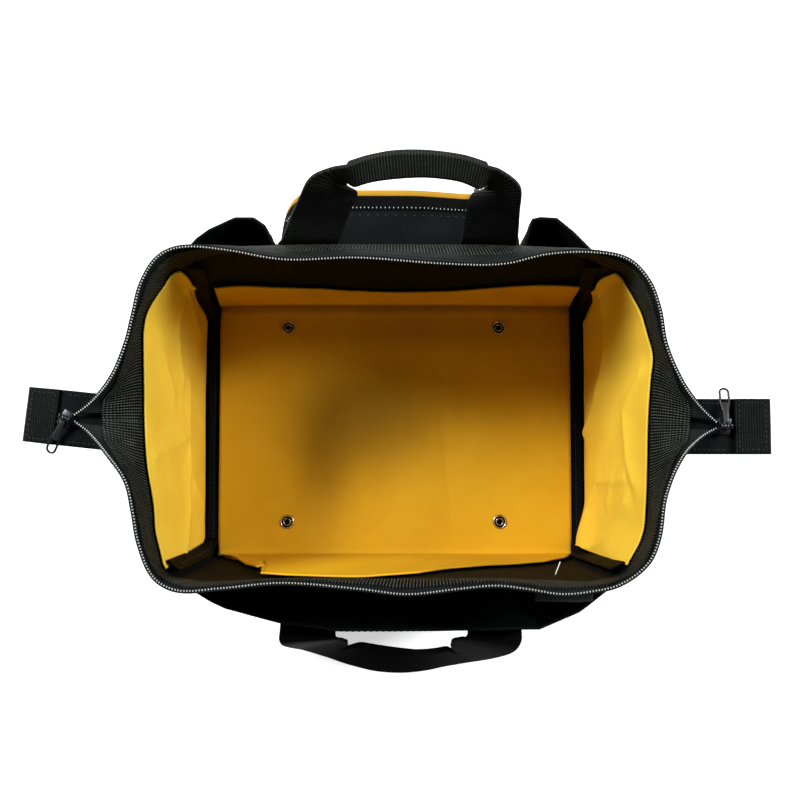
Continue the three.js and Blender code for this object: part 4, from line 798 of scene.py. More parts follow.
for corner in ("front_left", "front_right", "back_left", "back_right"):
    low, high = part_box(f"foot_{corner}")
    axis = Vector(((low.x + high.x) / 2, (low.y + high.y) / 2, 0)) / MM
    mesh = bmesh.new()
    turned(mesh, FOOT_PROFILE, axis)
    fit(finished(f"rubber_foot_{corner}", mesh), moulded_rubber, "foot_rubber", f"foot_{corner}")
    mesh = bmesh.new()
    turned(mesh, RIVET_PROFILE, axis + Vector((0, 0, RIVET_UNDER)))
    fit(finished(f"rivet_head_{corner}", mesh), nickel_plate, "rivet_steel", f"rivet_{corner}")

# Mouth band
# Wide ribbed webbing rings the mouth above the walls, sewn to them along its lower edge and to the
# zip tape along its upper one. It flares to the sides and narrows to the two end tabs.
MOUTH_RISE = 40
BACK_EDGE = (
    (-223.9, 2.0, 203.0), (-206.0, 13.4, 211.0), (-189.0, 29.0, 224.6), (-178.1, 49.9, 232.2),
    (-173.0, 69.0, 234.2), (-168.0, 89.0, 235.0), (-157.1, 107.0, 235.0), (-141.0, 114.0, 235.0),
    (-113.1, 112.5, 235.0), (-73.9, 106.0, 235.0), (-26.0, 107.3, 235.0), (29.1, 103.5, 235.0),
    (69.0, 103.1, 235.0), (100.0, 109.9, 235.0), (130.0, 111.0, 235.0), (153.0, 106.0, 235.0),
    (167.0, 91.0, 235.0), (174.0, 72.0, 234.2), (178.1, 49.9, 232.2), (191.0, 26.0, 223.0),
    (207.0, 9.9, 210.2), (223.9, -3.5, 203.0),
)
FRONT_EDGE = (
    (-223.9, 2.0, 203.0), (-208.0, -8.5, 209.4), (-189.0, -25.5, 225.0), (-176.1, -41.0, 233.4),
    (-171.0, -60.0, 235.0), (-167.0, -80.0, 235.0), (-157.1, -102.0, 235.0), (-141.0, -111.0, 235.0),
    (-114.1, -109.9, 235.0), (-73.1, -106.4, 235.0), (-24.0, -110.3, 235.0), (7.1, -113.7, 235.0),
    (40.3, -110.3, 235.0), (64.0, -108.3, 235.0), (84.0, -110.4, 235.0), (105.8, -113.7, 235.0),
    (125.0, -112.2, 235.0), (145.0, -107.3, 235.0), (163.0, -94.0, 235.0), (171.0, -77.0, 235.0),
    (176.1, -49.9, 233.0), (189.0, -26.0, 224.6), (207.0, -11.5, 210.2), (223.9, -3.5, 203.0),
)
EDGE = {BACK: smooth_path([Vector(row) for row in BACK_EDGE]),
        FRONT: smooth_path([Vector(row) for row in FRONT_EDGE])}
EDGE_RUN = EDGE[BACK][0][-1]


FRONT_TUCK = 6
ZIP_TAPE_WIDE = 10


def mouth_guide(seam, side):
    """The place half-way up the mouth that its cloth bends towards: tucked in along the front."""
    tuck = FRONT_TUCK * (1 - min(abs(seam.x) / 150, 1) ** 4) if side == FRONT else 0
    return Vector((seam.x, seam.y + tuck, WALL_TOP + 0.35 * MOUTH_RISE))


def mouth_point(share, side, up):
    """A point on the cloth of the mouth: `up` runs from the top seam of the walls to the zip's teeth."""
    seam = wall_point(share, side, WALL_TOP)
    edge = along_path(EDGE[side], share)
    rest = 1 - up
    return rest * rest * seam + 2 * rest * up * mouth_guide(seam, side) + up * up * edge


def band_top(share, side):
    """How far up the mouth the ribbed band reaches: to the zip's tape, and short of the two tabs."""
    guide = mouth_guide(wall_point(share, side, WALL_TOP), side)
    edge = along_path(EDGE[side], share)
    short = 0.68 + 4 * min(share, 1 - share)
    return min(1 - ZIP_TAPE_WIDE / (2 * (edge - guide).length), short)


def round_mouth(part, up):
    """A point on the mouth at a share of the whole ring, from the left tab over the front."""
    if part < 0.5:
        return mouth_point(2 * part, FRONT, up)
    return mouth_point(2 - 2 * part, BACK, up)


BAND_WIDE = 27
RING_RUN = 2 * EDGE_RUN


def mouth_band_place(across, along):
    part = across / RING_RUN
    top = band_top(2 * part, FRONT) if part < 0.5 else band_top(2 - 2 * part, BACK)
    place = round_mouth(part, top * along / BAND_WIDE)
    ripple = 0.55 * noise.noise(place / 17) + 0.9 * noise.noise(place / 48)
    return place + Vector((0, 0, ripple * math.sin(math.pi * along / BAND_WIDE)))


band_webbing = ribbed_webbing("wide_webbing_black", "#020303", "#7A857C", pitch=2.3, along="X", floats=1.7)
mouth_band = laid_sheet("mouth_band_webbing", RING_RUN, BAND_WIDE, (2.2, 2.2), mouth_band_place, ring=True)
fit(thicken(mouth_band, 2.4), band_webbing, "black_webbing", "mouth_band")
band_rows = [(lambda part, up=up: mouth_band_place(part * RING_RUN, up) + Vector((0, 0, 0.3)), RING_RUN)
             for up in (3.5, BAND_WIDE - 3)]
stitch_rows("mouth_band_stitches", black_thread, "black_webbing", band_rows, pitch=3.8)

# Zip tapes and teeth
# A long coil zip is cut in two halves along the mouth: smooth twill tape, and on its free edge a
# nylon coil whose turns show as a row of small bright beads. Both halves stop short of the sliders.
TAPE_SETBACK = 6
TAPE_RUN = EDGE_RUN - 2 * TAPE_SETBACK
TOOTH_PITCH = 2

zip_tape_cloth = woven_polyester("twill_zip_tape_black", "#0A0C0B", "#222725", pitch=1.3, roughness=0.6, depth=0.3)

# Nylon monofilament: dark and glossy. The upward faces of its turns are painted pale, a painted highlight
# where they catch the light.
nylon_coil, coil_shader = new_material("nylon_coil_black", Roughness=0.3, IOR=1.53)
spot = node(nylon_coil, "ShaderNodeNewGeometry")
upward = node(nylon_coil, "ShaderNodeSeparateXYZ", {}, {"Vector": spot.outputs["Normal"]})
coil_painted_highlight = node(nylon_coil, "ShaderNodeMapRange", {"From Min": 0.35, "From Max": 0.75}, {"Value": upward.outputs["Z"]})
colour = node(nylon_coil, "ShaderNodeMix", {"data_type": "RGBA", 6: srgb("#0A0B0C"), 7: srgb("#BBC0BE")},
              {"Factor": coil_painted_highlight.outputs["Result"]})
connect(nylon_coil, colour.outputs[2], coil_shader.inputs["Base Color"])
haze = node(nylon_coil, "ShaderNodeTexNoise", {"Scale": 300, "Detail": 2}, {"Vector": spot.outputs["Position"]})
rub = node(nylon_coil, "ShaderNodeMapRange", {"To Min": 0.22, "To Max": 0.45}, {"Value": haze.outputs["Fac"]})
connect(nylon_coil, rub.outputs["Result"], coil_shader.inputs["Roughness"])


def beads(mesh, places, radii):
    """Adds a bead at each (place, way along the coil, way across it): a turn of the coil seen from above."""
    for place, way, across in places:
        up = way.cross(across).normalized()
        axes = Matrix((way * radii[0], across * radii[1], up * radii[2])).transposed().to_4x4()
        matrix = Matrix.Translation((place + BODY_MIDDLE) * MM) @ axes
        bmesh.ops.create_icosphere(mesh, subdivisions=1, radius=MM, matrix=matrix)


for side, name in ((FRONT, "front"), (BACK, "back")):
    def zip_share(along):
        share = (TAPE_SETBACK + along) / EDGE_RUN
        return share if side == FRONT else 1 - share

    def zip_tape_place(across, along):
        share = zip_share(across)
        low = band_top(share, side) - 0.04
        return mouth_point(share, side, low + (0.95 - low) * along / ZIP_TAPE_WIDE)

    tape = laid_sheet(f"zip_tape_twill_{name}", TAPE_RUN, ZIP_TAPE_WIDE, (2.2, 1.6), zip_tape_place)
    fit(thicken(tape, 1.2, 0), zip_tape_cloth, "black_cloth", f"zip_tape_{name}")

    mesh = bmesh.new()
    places = []
    for index in range(round(TAPE_RUN / TOOTH_PITCH)):
        along = (index + 0.5) * TOOTH_PITCH
        middle = mouth_point(zip_share(along), side, 1)
        ahead = mouth_point(zip_share(along + 1), side, 1)
        inner = mouth_point(zip_share(along), side, 0.93)
        way = (ahead - middle).normalized()
        across = inner - middle
        across = (across - across.dot(way) * way).normalized()
        inward = Vector((-way.y, way.x, 0)).normalized()
        places.append((middle + inward * 1.3 + Vector((0, 0, 0.5)), way, across))
    beads(mesh, places, (0.62, 0.85, 0.85))
    for face in mesh.faces:
        face.smooth = True
    fit(finished(f"zip_coil_{name}", mesh), nylon_coil, "nylon_teeth", f"zip_teeth_{name}")
    cord = laid_sheet(
        f"zip_cord_{name}", TAPE_RUN, 3, (2.2, 1.5),
        lambda across, along: mouth_point(zip_share(across), side, 0.94 + 0.06 * along / 3))
    fit(thicken(cord, 1, 0), zip_tape_cloth, "nylon_teeth")

# Pull tabs
# Each end of the zip is covered by a square of cloth with webbing folded over its outer end and sewn
# down in a box. The left tab droops and the right one stays level.
WEBBING = 38
WEBBING_THICKNESS = 2.2
POCKET_CLOTH = 1.8
TAB_FOLD_LENGTH = 26
TAB_PATCH_LENGTH = 54
SLIDER_REACH = 38
SLIDER_LENGTH = 11
TAB_DROOP = {LEFT: 0.28, RIGHT: 0.02}
TAB_TURN = {LEFT: math.radians(6), RIGHT: 0}


def tab_point(end, reach, across, lift):
    apex = along_path(EDGE[FRONT], 0 if end == LEFT else 1)
    along = reach - SLIDER_REACH
    turn = TAB_TURN[end]
    past = max(along, 0)
    drop = TAB_DROOP[end] * past * (1 + past / 90)
    seat = 1.6 * max(1 - reach / 16, 0)
    sag = 0.45 * noise.noise(Vector((reach / 22, across / 22, end)))
    return apex + Vector((end * (along * math.cos(turn) - across * math.sin(turn)),
                          across * math.cos(turn) + along * math.sin(turn), seat + lift - drop + sag - 3))


for end, name in ((LEFT, "left"), (RIGHT, "right")):
    patch = laid_sheet(
        f"tab_cloth_{name}", WEBBING, TAB_PATCH_LENGTH, (2, 2),
        lambda across, along: tab_point(end, along, end * (across - WEBBING / 2) * -1, 0))
    fit(thicken(patch, POCKET_CLOTH, 0), black_polyester, "black_cloth", f"tab_patch_{name}")

    fold = POCKET_CLOTH / 2 + LAYER_GAP + WEBBING_THICKNESS / 2
    start = SLIDER_REACH + SLIDER_LENGTH / 2 + 2
    flat_run = TAB_FOLD_LENGTH - fold - WEBBING_THICKNESS / 2
    turn_run = math.pi * fold

    def tab_webbing_place(across, along):
        offset = end * (across - WEBBING / 2) * -1
        if along < flat_run:
            return tab_point(end, start + along, offset, fold)
        if along > flat_run + turn_run:
            return tab_point(end, start + 2 * flat_run + turn_run - along, offset, -fold)
        angle = (along - flat_run) / fold
        return tab_point(end, start + flat_run + fold * math.sin(angle), offset, fold * math.cos(angle))

    webbing = laid_sheet(
        f"tab_webbing_folded_{name}", WEBBING, 2 * flat_run + turn_run, (2, 0.9), tab_webbing_place)
    fit(thicken(webbing, WEBBING_THICKNESS, 0), black_webbing, "black_webbing", f"tab_webbing_{name}")

    lift = Vector((0, 0, fold + 0.9 - fold))
    corners = [(3, 3), (WEBBING - 3, 3), (WEBBING - 3, flat_run - 1), (3, flat_run - 1), (3, 3)]
    rows = []
    for (a0, b0), (a1, b1) in zip(corners, corners[1:]):
        rows.append((lambda part, a0=a0, b0=b0, a1=a1, b1=b1: tab_webbing_place(
            a0 + (a1 - a0) * part, b0 + (b1 - b0) * part) + Vector((0, 0, 1.25)), math.hypot(a1 - a0, b1 - b0)))
    for edge in (-1, 1):
        rows.append((lambda part, edge=edge: tab_point(
            end, 6 + 34 * part, edge * (WEBBING / 2 - 3), 1.05), 34))
    stitch_rows(f"tab_stitches_{name}", black_thread, "black_webbing", rows, pitch=3.4)

# Zip sliders and pulls
# Cast zinc sliders, plated dark: two plates joined by a wedge, with two ears that hold the pin. Each
# pull is a wire loop with a soft moulded sleeve, and swings on the pin.
SLIDER_WIDTH = 9
SLIDER_HEIGHT = 5
PIN_RADIUS = 0.8
PIN_LIFT = 3
PULL_LENGTH = 28
PULL_DROOP = math.radians(17)
SLIDER_PLATE = 1.3

# Dark plated zinc: a metal with a smoky nickel finish, brighter in random worn patches.
plated_zinc, zinc_shader = new_material("plated_zinc_dark", Metallic=0.9, Roughness=0.3)
spot = node(plated_zinc, "ShaderNodeTexCoord")
wear = node(plated_zinc, "ShaderNodeTexNoise", {"Scale": 380, "Detail": 4}, {"Vector": spot.outputs["Object"]})
colour = node(plated_zinc, "ShaderNodeMix", {"data_type": "RGBA"}, {})
colour.inputs[6].default_value = srgb("#17181A")
colour.inputs[7].default_value = srgb("#4B4D50")
connect(plated_zinc, wear.outputs["Fac"], colour.inputs["Factor"])
connect(plated_zinc, colour.outputs[2], zinc_shader.inputs["Base Color"])
rub = node(plated_zinc, "ShaderNodeMapRange", {"To Min": 0.2, "To Max": 0.45}, {"Value": wear.outputs["Fac"]})
connect(plated_zinc, rub.outputs["Result"], zinc_shader.inputs["Roughness"])

# Moulded soft plastic sleeve: black and satin.
moulded_sleeve, sleeve_shader = new_material("moulded_sleeve_black", Base_Color=srgb("#121415"), Roughness=0.5)
spot = node(moulded_sleeve, "ShaderNodeTexCoord")
grain = node(moulded_sleeve, "ShaderNodeTexNoise", {"Scale": 800, "Detail": 2}, {"Vector": spot.outputs["Object"]})
bump = node(moulded_sleeve, "ShaderNodeBump", {"Strength": 0.2, "Distance": 0.0002}, {"Height": grain.outputs["Fac"]})
connect(moulded_sleeve, bump.outputs["Normal"], sleeve_shader.inputs["Normal"])


def add_block(mesh, size, centre, round_edge, taper=0.0):
    """Adds a rounded block. `taper` narrows its rear end, as a share of its width."""
    made = bmesh.ops.create_cube(mesh, size=1)["verts"]
    for vert in made:
        narrow = 1 - taper if vert.co.x < 0 else 1
        vert.co = Vector((vert.co.x * size[0], vert.co.y * size[1] * narrow, vert.co.z * size[2])) + Vector(centre)
    edges = {edge for vert in made for edge in vert.link_edges}
    bmesh.ops.bevel(mesh, geom=list(edges), offset=round_edge, affect="EDGES", segments=3, profile=0.5, material=-1)


def add_rod(mesh, radius, start, end, sides=16):
    """Adds a round rod between two places."""
    way = Vector(end) - Vector(start)
    matrix = Matrix.Translation((Vector(start) + Vector(end)) / 2) @ way.to_track_quat("Z", "Y").to_matrix().to_4x4()
    bmesh.ops.create_cone(mesh, cap_ends=True, segments=sides, radius1=radius, radius2=radius,
                          depth=way.length, matrix=matrix)


def add_wire(mesh, radius, points, sides=10):
    """Adds a bent wire through points that lie level, as a chain of rings bridged together."""
    rings = []
    for index, point in enumerate(points):
        before = points[max(index - 1, 0)]
        after = points[min(index + 1, len(points) - 1)]
        way = (after - before).normalized()
        matrix = Matrix.Translation(point) @ way.to_track_quat("Z", "Y").to_matrix().to_4x4()
        ring = bmesh.ops.create_circle(mesh, cap_ends=False, segments=sides, radius=radius, matrix=matrix)["verts"]
        rings.append(list({edge for vert in ring for edge in vert.link_edges}))
    for near, far in zip(rings, rings[1:]):
        bmesh.ops.bridge_loops(mesh, edges=near + far)


def placed(mesh, matrix):
    """Smooths a bmesh built round its own origin and moves it to its place, in metres."""
    bmesh.ops.recalc_face_normals(mesh, faces=mesh.faces)
    for face in mesh.faces:
        face.smooth = True
    bmesh.ops.transform(mesh, verts=mesh.verts, matrix=matrix)
    return mesh


pull_places = {}
for name, end, turn_degrees in (("left", LEFT, -117), ("right", RIGHT, 88)):
    seat = tab_point(end, SLIDER_REACH, 0, POCKET_CLOTH / 2 + 0.3)
    low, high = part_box(f"zip_slider_{name}")
    seat.z = low.z / MM
    holder = (Matrix.Scale(MM, 4) @ Matrix.Translation(seat + BODY_MIDDLE)
              @ Matrix.Rotation(math.radians(turn_degrees), 4, "Z"))
    mesh = bmesh.new()
    add_block(mesh, (SLIDER_LENGTH, SLIDER_WIDTH, SLIDER_PLATE), (0, 0, SLIDER_PLATE / 2), 0.45, 0.3)
    add_block(mesh, (SLIDER_LENGTH, SLIDER_WIDTH, SLIDER_PLATE), (0, 0, SLIDER_HEIGHT - SLIDER_PLATE / 2), 0.45, 0.3)
    add_block(mesh, (SLIDER_LENGTH / 2, 2.6, SLIDER_HEIGHT - 1), (1, 0, SLIDER_HEIGHT / 2), 0.4)
    for ear in (-1, 1):
        add_block(mesh, (3.4, 1.2, PIN_LIFT + 1), (0, ear * 3.4, SLIDER_HEIGHT + (PIN_LIFT + 1) / 2 - 0.1), 0.4)
    add_rod(mesh, PIN_RADIUS, (0, -3.6, SLIDER_HEIGHT + PIN_LIFT), (0, 3.6, SLIDER_HEIGHT + PIN_LIFT))
    fit(finished(f"slider_body_{name}", placed(mesh, holder)), plated_zinc, "dark_metal", f"zip_slider_{name}")

    pull = (holder @ Matrix.Translation((0, 0, SLIDER_HEIGHT + PIN_LIFT)) @ Matrix.Rotation(PULL_DROOP, 4, "Y"))
    half = 3.0
    tip = PULL_LENGTH - half - 0.8
    outline = [Vector((1.5, -1.3, 0)), Vector((10, -1.5, 0)), Vector((18, -half, 0)), Vector((tip - 3, -half, 0))]
    outline += [Vector((tip + half * math.sin(a), -half * math.cos(a), 0)) for a in
                [math.pi * step / 10 for step in range(11)]]
    outline += [Vector((tip - 3, half, 0)), Vector((18, half, 0)), Vector((10, 1.5, 0)), Vector((1.5, 1.3, 0))]
    mesh = bmesh.new()
    add_wire(mesh, 0.75, outline)
    add_rod(mesh, 1.9, (0, -2, 0), (0, 2, 0))
    wire = finished(f"pull_wire_{name}", placed(mesh, pull))
    fit(wire, plated_zinc, "dark_metal", f"zip_pull_{name}", body=f"{name}_pull")
    mesh = bmesh.new()
    add_block(mesh, (15, 5, 2.6), (9.5, 0, 0), 1.1, 0.25)
    fit(finished(f"pull_sleeve_{name}", placed(mesh, pull)), moulded_sleeve, "dark_metal", body=f"{name}_pull")

# Pockets outside
# An open slip pocket covers the front wall and two smaller ones sit on the back. Each is a cloth
# panel that bellies out from the wall, with a doubled hem along its mouth.
POCKET_FOOT = 15
FRONT_PLAN = ((-0.9, 0), (-0.86, 0.16), (-0.71, 0.5), (-0.49, 0.8), (-0.25, 0.98), (0, 1), (0.36, 1),
              (0.6, 0.98), (0.77, 0.6), (0.9, 0.2), (0.945, 0))
LEFT_PLAN = ((-0.89, 0), (-0.87, 0.4), (-0.79, 0.71), (-0.68, 0.98), (-0.6, 0.98), (-0.55, 0.8),
             (-0.5, 0.3), (-0.49, 0))
RIGHT_PLAN = ((0.53, 0), (0.54, 0.4), (0.57, 0.95), (0.61, 1), (0.68, 0.98), (0.75, 0.68), (0.83, 0.25),
              (0.86, 0))
POCKET_RISE = ((0, 0.02), (0.03, 0.4), (0.12, 0.62), (0.45, 0.82), (1, 1))


def pocket_point(x, z, side, out):
    wall = abs(wall_point(share_at(x), side, z).y)
    away = max(min(HALF_WIDTH, wall) + out, wall + LAYER_GAP + POCKET_CLOTH)
    return Vector((x, side * away, z))


def slip_pocket_point(plan, side, depth, top, x, z):
    """A point on a slip pocket's outer face, with the slack of its cloth between foot and hem."""
    up = (z - POCKET_FOOT) / (top - POCKET_FOOT)
    out = depth * from_rows(plan, x / HALF_LENGTH, 1) * from_rows(POCKET_RISE, up, 1)
    loose = 1.6 * noise.noise(Vector((x / 45, z / 38, 5 * side))) * math.sin(math.pi * min(max(up, 0), 1))
    return pocket_point(x, z, side, out + loose * min(out / 12, 1))


for name, node_name, plan, side, depth, top in (
    ("front_slip_pocket", "front_pocket", FRONT_PLAN, FRONT, 33, 176),
    ("back_slip_pocket_left", "slip_pocket_left", LEFT_PLAN, BACK, 32, 184),
    ("back_slip_pocket_right", "slip_pocket_right", RIGHT_PLAN, BACK, 32, 184),
):
    first, last = plan[0][0] * HALF_LENGTH, plan[-1][0] * HALF_LENGTH
    wide, tall = last - first, top - POCKET_FOOT

    def slip_pocket_place(across, along):
        x = first + across if side == FRONT else last - across
        place = slip_pocket_point(plan, side, depth, top, x, POCKET_FOOT + along)
        hem = eased((along - tall + 11) / 1.2)
        return place + Vector((0, side * hem, 0))

    pocket = laid_sheet(name, wide, tall, (1.5, 2.5), slip_pocket_place)
    fit(thicken(pocket, POCKET_CLOTH), black_polyester, "black_cloth", node_name)
    rows = [(lambda part, at=at: slip_pocket_place(part * wide, tall - at) + Vector((0, side * 0.2, 0)), wide)
            for at in (2.5, 10)]
    stitch_rows(f"{name}_stitches", black_thread, "black_cloth", rows)

# Zipped pocket on the back
# A box pocket with a yellow face, a coil zip along its upper edge under a flap of black cloth, and
# its own small slider.
ZIP_POCKET_DEPTH = 53
ZIP_POCKET_LENGTH = 170
ZIP_POCKET_SHIFT = 3
ZIP_POCKET_TOP = 187
ZIP_POCKET_RISE = ZIP_POCKET_TOP - POCKET_FOOT
FACE_PROFILE = ((0, 0.05), (0.03, 0.62), (0.2, 0.92), (0.5, 1), (0.88, 1.04), (0.94, 1.02), (0.957, 0.96),
                (0.96, 0.93))
ZIP_PROFILE = ((0.962, 0.92), (0.966, 0.88), (0.975, 0.8), (0.982, 0.74), (0.984, 0.71))
TOP_PROFILE = ((0.985, 0.7), (0.993, 0.56), (1, 0.35), (1.01, 0.1))


def zip_pocket_point(x, up, out):
    place = min(abs(x - ZIP_POCKET_SHIFT) / (ZIP_POCKET_LENGTH / 2), 1)
    round_end = (1 - place ** 10) ** 0.35
    slump = 1.4 * noise.noise(Vector((x / 60, up * 3, 8))) * math.sin(math.pi * min(up, 1))
    sag = 1 - 0.05 * eased((x - 8) / 52)
    return pocket_point(x, POCKET_FOOT + ZIP_POCKET_RISE * up, BACK, ZIP_POCKET_DEPTH * out * sag * round_end + slump)


def zip_pocket_strip(name, profile, material, slot_name, node_name, cell):
    """One strip of the pocket through a profile of (up, out) rows, sewn from end to end."""
    points = [Vector((0, row[1] * ZIP_POCKET_DEPTH, row[0] * ZIP_POCKET_RISE)) for row in profile]
    path = smooth_path(points)
    run = path[0][-1]

    def strip_place(across, along):
        section = along_path(path, along / run)
        # The ends get closer columns, where the pocket turns sharply to the wall.
        share = 1 - 2 * across / ZIP_POCKET_LENGTH
        spread = math.copysign(1 - (1 - abs(share)) ** 1.6, share)
        x = ZIP_POCKET_SHIFT + spread * ZIP_POCKET_LENGTH / 2
        return zip_pocket_point(x, section.z / ZIP_POCKET_RISE, section.y / ZIP_POCKET_DEPTH)

    strip = laid_sheet(name, ZIP_POCKET_LENGTH, run, cell, strip_place)
    fit(thicken(strip, POCKET_CLOTH), material, slot_name, node_name)
    return strip_place, run


shaded_lining = coated_lining("coated_polyester_yellow_shaded", "#9C7318", "#BC8E28")
zip_pocket_strip("zip_pocket_face_cloth", FACE_PROFILE, shaded_lining, "yellow_cloth", "zip_pocket_face", (1.5, 3))
zip_place, zip_run = zip_pocket_strip(
    "zip_pocket_tape", ZIP_PROFILE, black_binding, "black_webbing", "zip_pocket_zip", (1.5, 1.5))
top_place, top_run = zip_pocket_strip(
    "zip_pocket_top_cloth", TOP_PROFILE, black_polyester, "black_cloth", "zip_pocket_top", (1.5, 1.5))

mesh = bmesh.new()
places = []
for index in range(round(ZIP_POCKET_LENGTH * 0.86 / TOOTH_PITCH)):
    across = 0.07 * ZIP_POCKET_LENGTH + index * TOOTH_PITCH
    middle = zip_place(across, 0.93 * zip_run)
    way = (zip_place(across + 1, 0.93 * zip_run) - middle).normalized()
    side_way = zip_place(across, 0.99 * zip_run) - middle
    side_way = (side_way - side_way.dot(way) * way).normalized()
    places.append((middle + Vector((0, 0.7, 0.9)), way, side_way))
beads(mesh, places, (0.42, 0.75, 0.42))
for face in mesh.faces:
    face.smooth = True
fit(finished("zip_pocket_coil", mesh), nylon_coil, "nylon_teeth")
stitch_rows("zip_pocket_stitches", black_thread, "black_cloth", [
    (lambda part: top_place(4 + part * (ZIP_POCKET_LENGTH - 8), 0.12 * top_run) + Vector((0, 0.2, 0.35)),
     ZIP_POCKET_LENGTH - 8)])

low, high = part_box("zip_pocket_slider")
middle = (low + high) / 2 / MM
tilt = (Matrix.Scale(MM, 4) @ Matrix.Translation(middle) @ Matrix.Rotation(-0.75, 4, "X"))
mesh = bmesh.new()
add_block(mesh, (9, 8, 2.6), (0, -3.4, -0.4), 0.6)
add_block(mesh, (4, 15.5, 1.2), (0, 2.6, 1.1), 0.5)
fit(finished("zip_pocket_slider_body", placed(mesh, tilt)), plated_zinc, "dark_metal", "zip_pocket_slider")

# Handles
# Two loops of ribbed webbing, sewn to the front pocket and to the back wall. At the grip each is
# folded in half lengthwise and stitched, and where the fold ends the webbing opens in a dog ear.
HANDLE_SPACING = 122
HANDLE_SHIFT = 3
BACK_ROWS = (
    (-1.41, 0, -0.06, -0.75, 0, -0.06, 0), (-1.35, 0.25, 0.06, -0.7, 0.22, 0.06, 0),
    (-1.21, 0.47, 0.34, -0.6, 0.43, 0.3, 0), (-1.08, 0.63, 0.6, -0.52, 0.56, 0.5, 0),
    (-0.98, 0.73, 0.81, -0.47, 0.66, 0.59, 0), (-0.88, 0.78, 0.91, -0.51, 0.73, 0.57, 0),
    (-0.72, 0.83, 0.96, -0.58, 0.77, 0.54, 0), (-0.52, 0.89, 0.99, -0.47, 0.7, 0.77, 1),
    (-0.33, 0.96, 1.01, -0.3, 0.73, 0.84, 1), (-0.09, 1, 1.04, -0.07, 0.76, 0.86, 1),
    (0.18, 1.01, 1.04, 0.2, 0.78, 0.86, 1), (0.41, 1, 1.02, 0.41, 0.77, 0.85, 1),
    (0.65, 0.96, 1, 0.62, 0.74, 0.82, 1), (0.86, 0.89, 0.97, 0.8, 0.68, 0.76, 1),
    (1.01, 0.82, 0.94, 0.9, 0.75, 0.53, 0), (1.18, 0.72, 0.86, 0.85, 0.75, 0.48, 0),
    (1.26, 0.65, 0.74, 0.76, 0.69, 0.5, 0), (1.29, 0.5, 0.48, 0.71, 0.54, 0.38, 0),
    (1.33, 0.29, 0.1, 0.7, 0.3, 0.1, 0), (1.34, 0, -0.06, 0.69, 0, -0.06, 0),
)
FRONT_ROWS = (
    (-1.42, 0, -1.7, -0.77, 0, -1.7, 0), (-1.42, 0, -0.64, -0.77, 0, -0.64, 0),
    (-1.42, 0.09, -0.44, -0.76, 0.13, -0.44, 0), (-1.42, 0.25, -0.4, -0.75, 0.18, -0.36, 0),
    (-1.36, 0.36, -0.52, -0.72, 0.22, -0.4, 0), (-1.18, 0.47, -0.74, -0.69, 0.24, -0.48, 0),
    (-0.92, 0.62, -0.86, -0.63, 0.29, -0.56, 0), (-0.59, 0.77, -0.86, -0.45, 0.36, -0.68, 1),
    (-0.29, 0.88, -0.84, -0.26, 0.42, -0.72, 1), (0.03, 0.91, -0.84, 0.03, 0.48, -0.72, 1),
    (0.32, 0.86, -0.86, 0.28, 0.49, -0.66, 1), (0.59, 0.77, -0.86, 0.54, 0.43, -0.6, 1),
    (0.9, 0.71, -0.82, 0.6, 0.34, -0.48, 0), (1.16, 0.6, -0.66, 0.62, 0.24, -0.4, 0),
    (1.35, 0.46, -0.5, 0.7, 0.2, -0.37, 0), (1.43, 0.27, -0.4, 0.78, 0.17, -0.37, 0),
    (1.44, 0.1, -0.44, 0.8, 0.12, -0.44, 0), (1.44, 0, -0.64, 0.81, 0, -0.64, 0),
    (1.44, 0, -1.7, 0.81, 0, -1.7, 0),
)


def make_handle(name, node_name, rows, side, plane, reach, height, rise, behind, material):
    clearance = LAYER_GAP + WEBBING_THICKNESS / 2

    def edge_place(along, out, up):
        x = HANDLE_SHIFT + along * HANDLE_SPACING / 2
        z = height + up * rise
        sewn = behind(x, z) + clearance
        return Vector((x, side * (sewn if out == 0 else max(plane + out * reach, sewn)), z))

    outer = [edge_place(*row[0:3]) for row in rows]
    inner = [edge_place(*row[3:6]) for row in rows]
    middles = [(a + b) / 2 for a, b in zip(outer, inner)]
    middle_path = smooth_path(middles)
    run = middle_path[0][-1]
    stops = [middle_path[0][index * 10] for index in range(len(rows))]
    paths = (smooth_path(outer), smooth_path(inner))

    def on_edge(path, along):
        """The place on an edge's path that belongs to a length along the middle."""
        index = min(max(bisect_right(stops, along) - 1, 0), len(stops) - 2)
        part = (along - stops[index]) / (stops[index + 1] - stops[index])
        spot = (index + min(max(part, 0), 1)) * 10
        low = min(int(spot), len(path[1]) - 2)
        return path[1][low].lerp(path[1][low + 1], spot - low), index, part

    def handle_place(across, along):
        away, index, part = on_edge(paths[0], along)
        near, index, part = on_edge(paths[1], along)
        folded = rows[index][6] + (rows[index + 1][6] - rows[index][6]) * eased(part)
        share = across / WEBBING
        width = near - away
        open_place = away.lerp(near, share)
        # Folded, the near half of the webbing turns back over the far half.
        turned_share = 2 * share if share < 0.5 else 2 - 2 * share
        along_way = on_edge(paths[0], min(along + 1, run))[0] - away
        face = width.cross(along_way).normalized() * -side
        lift = 2.6 * eased((share - 0.46) / 0.08) - 1.3
        folded_place = away.lerp(near, turned_share) + face * lift
        return open_place.lerp(folded_place, folded)

    strap = laid_sheet(name, WEBBING, run, (1.2, 1.5), handle_place)
    fit(thicken(strap, WEBBING_THICKNESS, 0), material, "black_webbing", node_name)
    return handle_place, run


def behind_back(x, z):
    return abs(wall_point(share_at(x), BACK, min(z, WALL_TOP)).y) + LAYER_GAP


def behind_front(x, z):
    return abs(slip_pocket_point(FRONT_PLAN, FRONT, 33, 176, x, z).y)


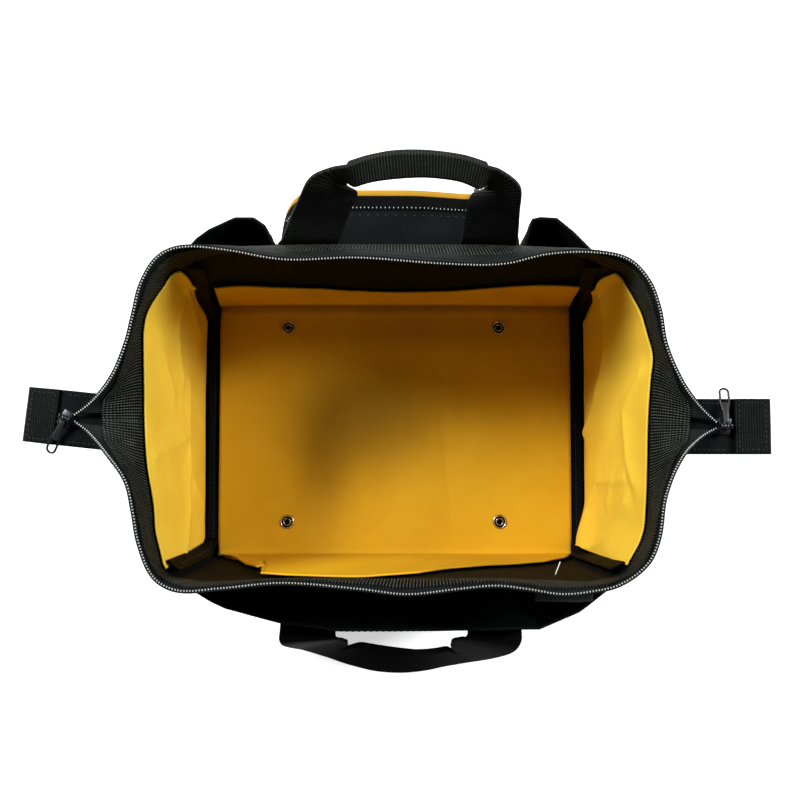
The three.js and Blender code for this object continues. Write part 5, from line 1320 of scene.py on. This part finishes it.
# The same webbing in two colours: painted darker on the front handle, as painted shade, and painted lighter on the back
# handle, as painted light.
front_webbing_painted_shade = ribbed_webbing("polyester_webbing_black_front_painted_shade", "#030303", "#101211", pitch=1.9)
back_webbing_painted_light = ribbed_webbing("polyester_webbing_black_back_painted_light", "#1B1D1B", "#646A65", pitch=1.9)
make_handle("back_handle_webbing", "handle_back", BACK_ROWS, BACK, HALF_WIDTH, 50, WALL_TOP, 80, behind_back,
            back_webbing_painted_light)
make_handle("front_handle_webbing", "handle_front", FRONT_ROWS, FRONT, HALF_WIDTH + 33, 40, 176, 50, behind_front,
            front_webbing_painted_shade)

# Bare seam label and blank care label
# A plain woven label, folded in half, is caught in the seam above the front wall and stands out of it.
# A folded satin label stands in the seam inside the wall. Both are blank.
SEAM_LABEL_LENGTH = 40
SEAM_LABEL_OUT = 12
SEAM_LABEL_DROP = 7


def seam_label_place(across, along):
    x = 0.69 * HALF_LENGTH - SEAM_LABEL_LENGTH / 2 + across
    seam = wall_point(share_at(x), FRONT, WALL_TOP - 2)
    share = 1 - along / SEAM_LABEL_OUT
    curl = 0.5 * noise.noise(Vector((across / 14, 3, 1))) * share
    return seam + Vector((0, -0.3 - share * SEAM_LABEL_OUT, curl - share * share * SEAM_LABEL_DROP))


damask_label = ribbed_webbing("damask_label_black", "#121516", "#2E3331", pitch=1.4, along="X", depth=0.5)
seam_label = laid_sheet("seam_label_bare", SEAM_LABEL_LENGTH, SEAM_LABEL_OUT, (1.5, 1.5), seam_label_place)
fit(thicken(seam_label, 1.2, 0), damask_label, "black_webbing", "front_patch")

# Woven satin label: white, silky, with fine ribs.
satin_label, satin_shader = new_material(
    "satin_label_white", Base_Color=srgb("#F4F3EF"), Roughness=0.45, Sheen_Weight=0.2)
spot = node(satin_label, "ShaderNodeTexCoord")
ribs = node(satin_label, "ShaderNodeTexWave", {"bands_direction": "Z", "Scale": 310}, {"Vector": spot.outputs["Object"]})
bump = node(satin_label, "ShaderNodeBump", {"Strength": 0.3, "Distance": 0.0002}, {"Height": ribs.outputs["Fac"]})
connect(satin_label, bump.outputs["Normal"], satin_shader.inputs["Normal"])


def care_label_place(across, along):
    return Vector((119.2, -100, 155)) + Vector((-3.7, -9.2, 0)) * along / 10 - Vector((-1.6, 1, 9.8)) * across / 10


care_label = laid_sheet("care_label_blank", 10, 10, (2, 2), care_label_place)
fit(thicken(care_label, 0.8, 0), satin_label, "label_cloth", "care_label")
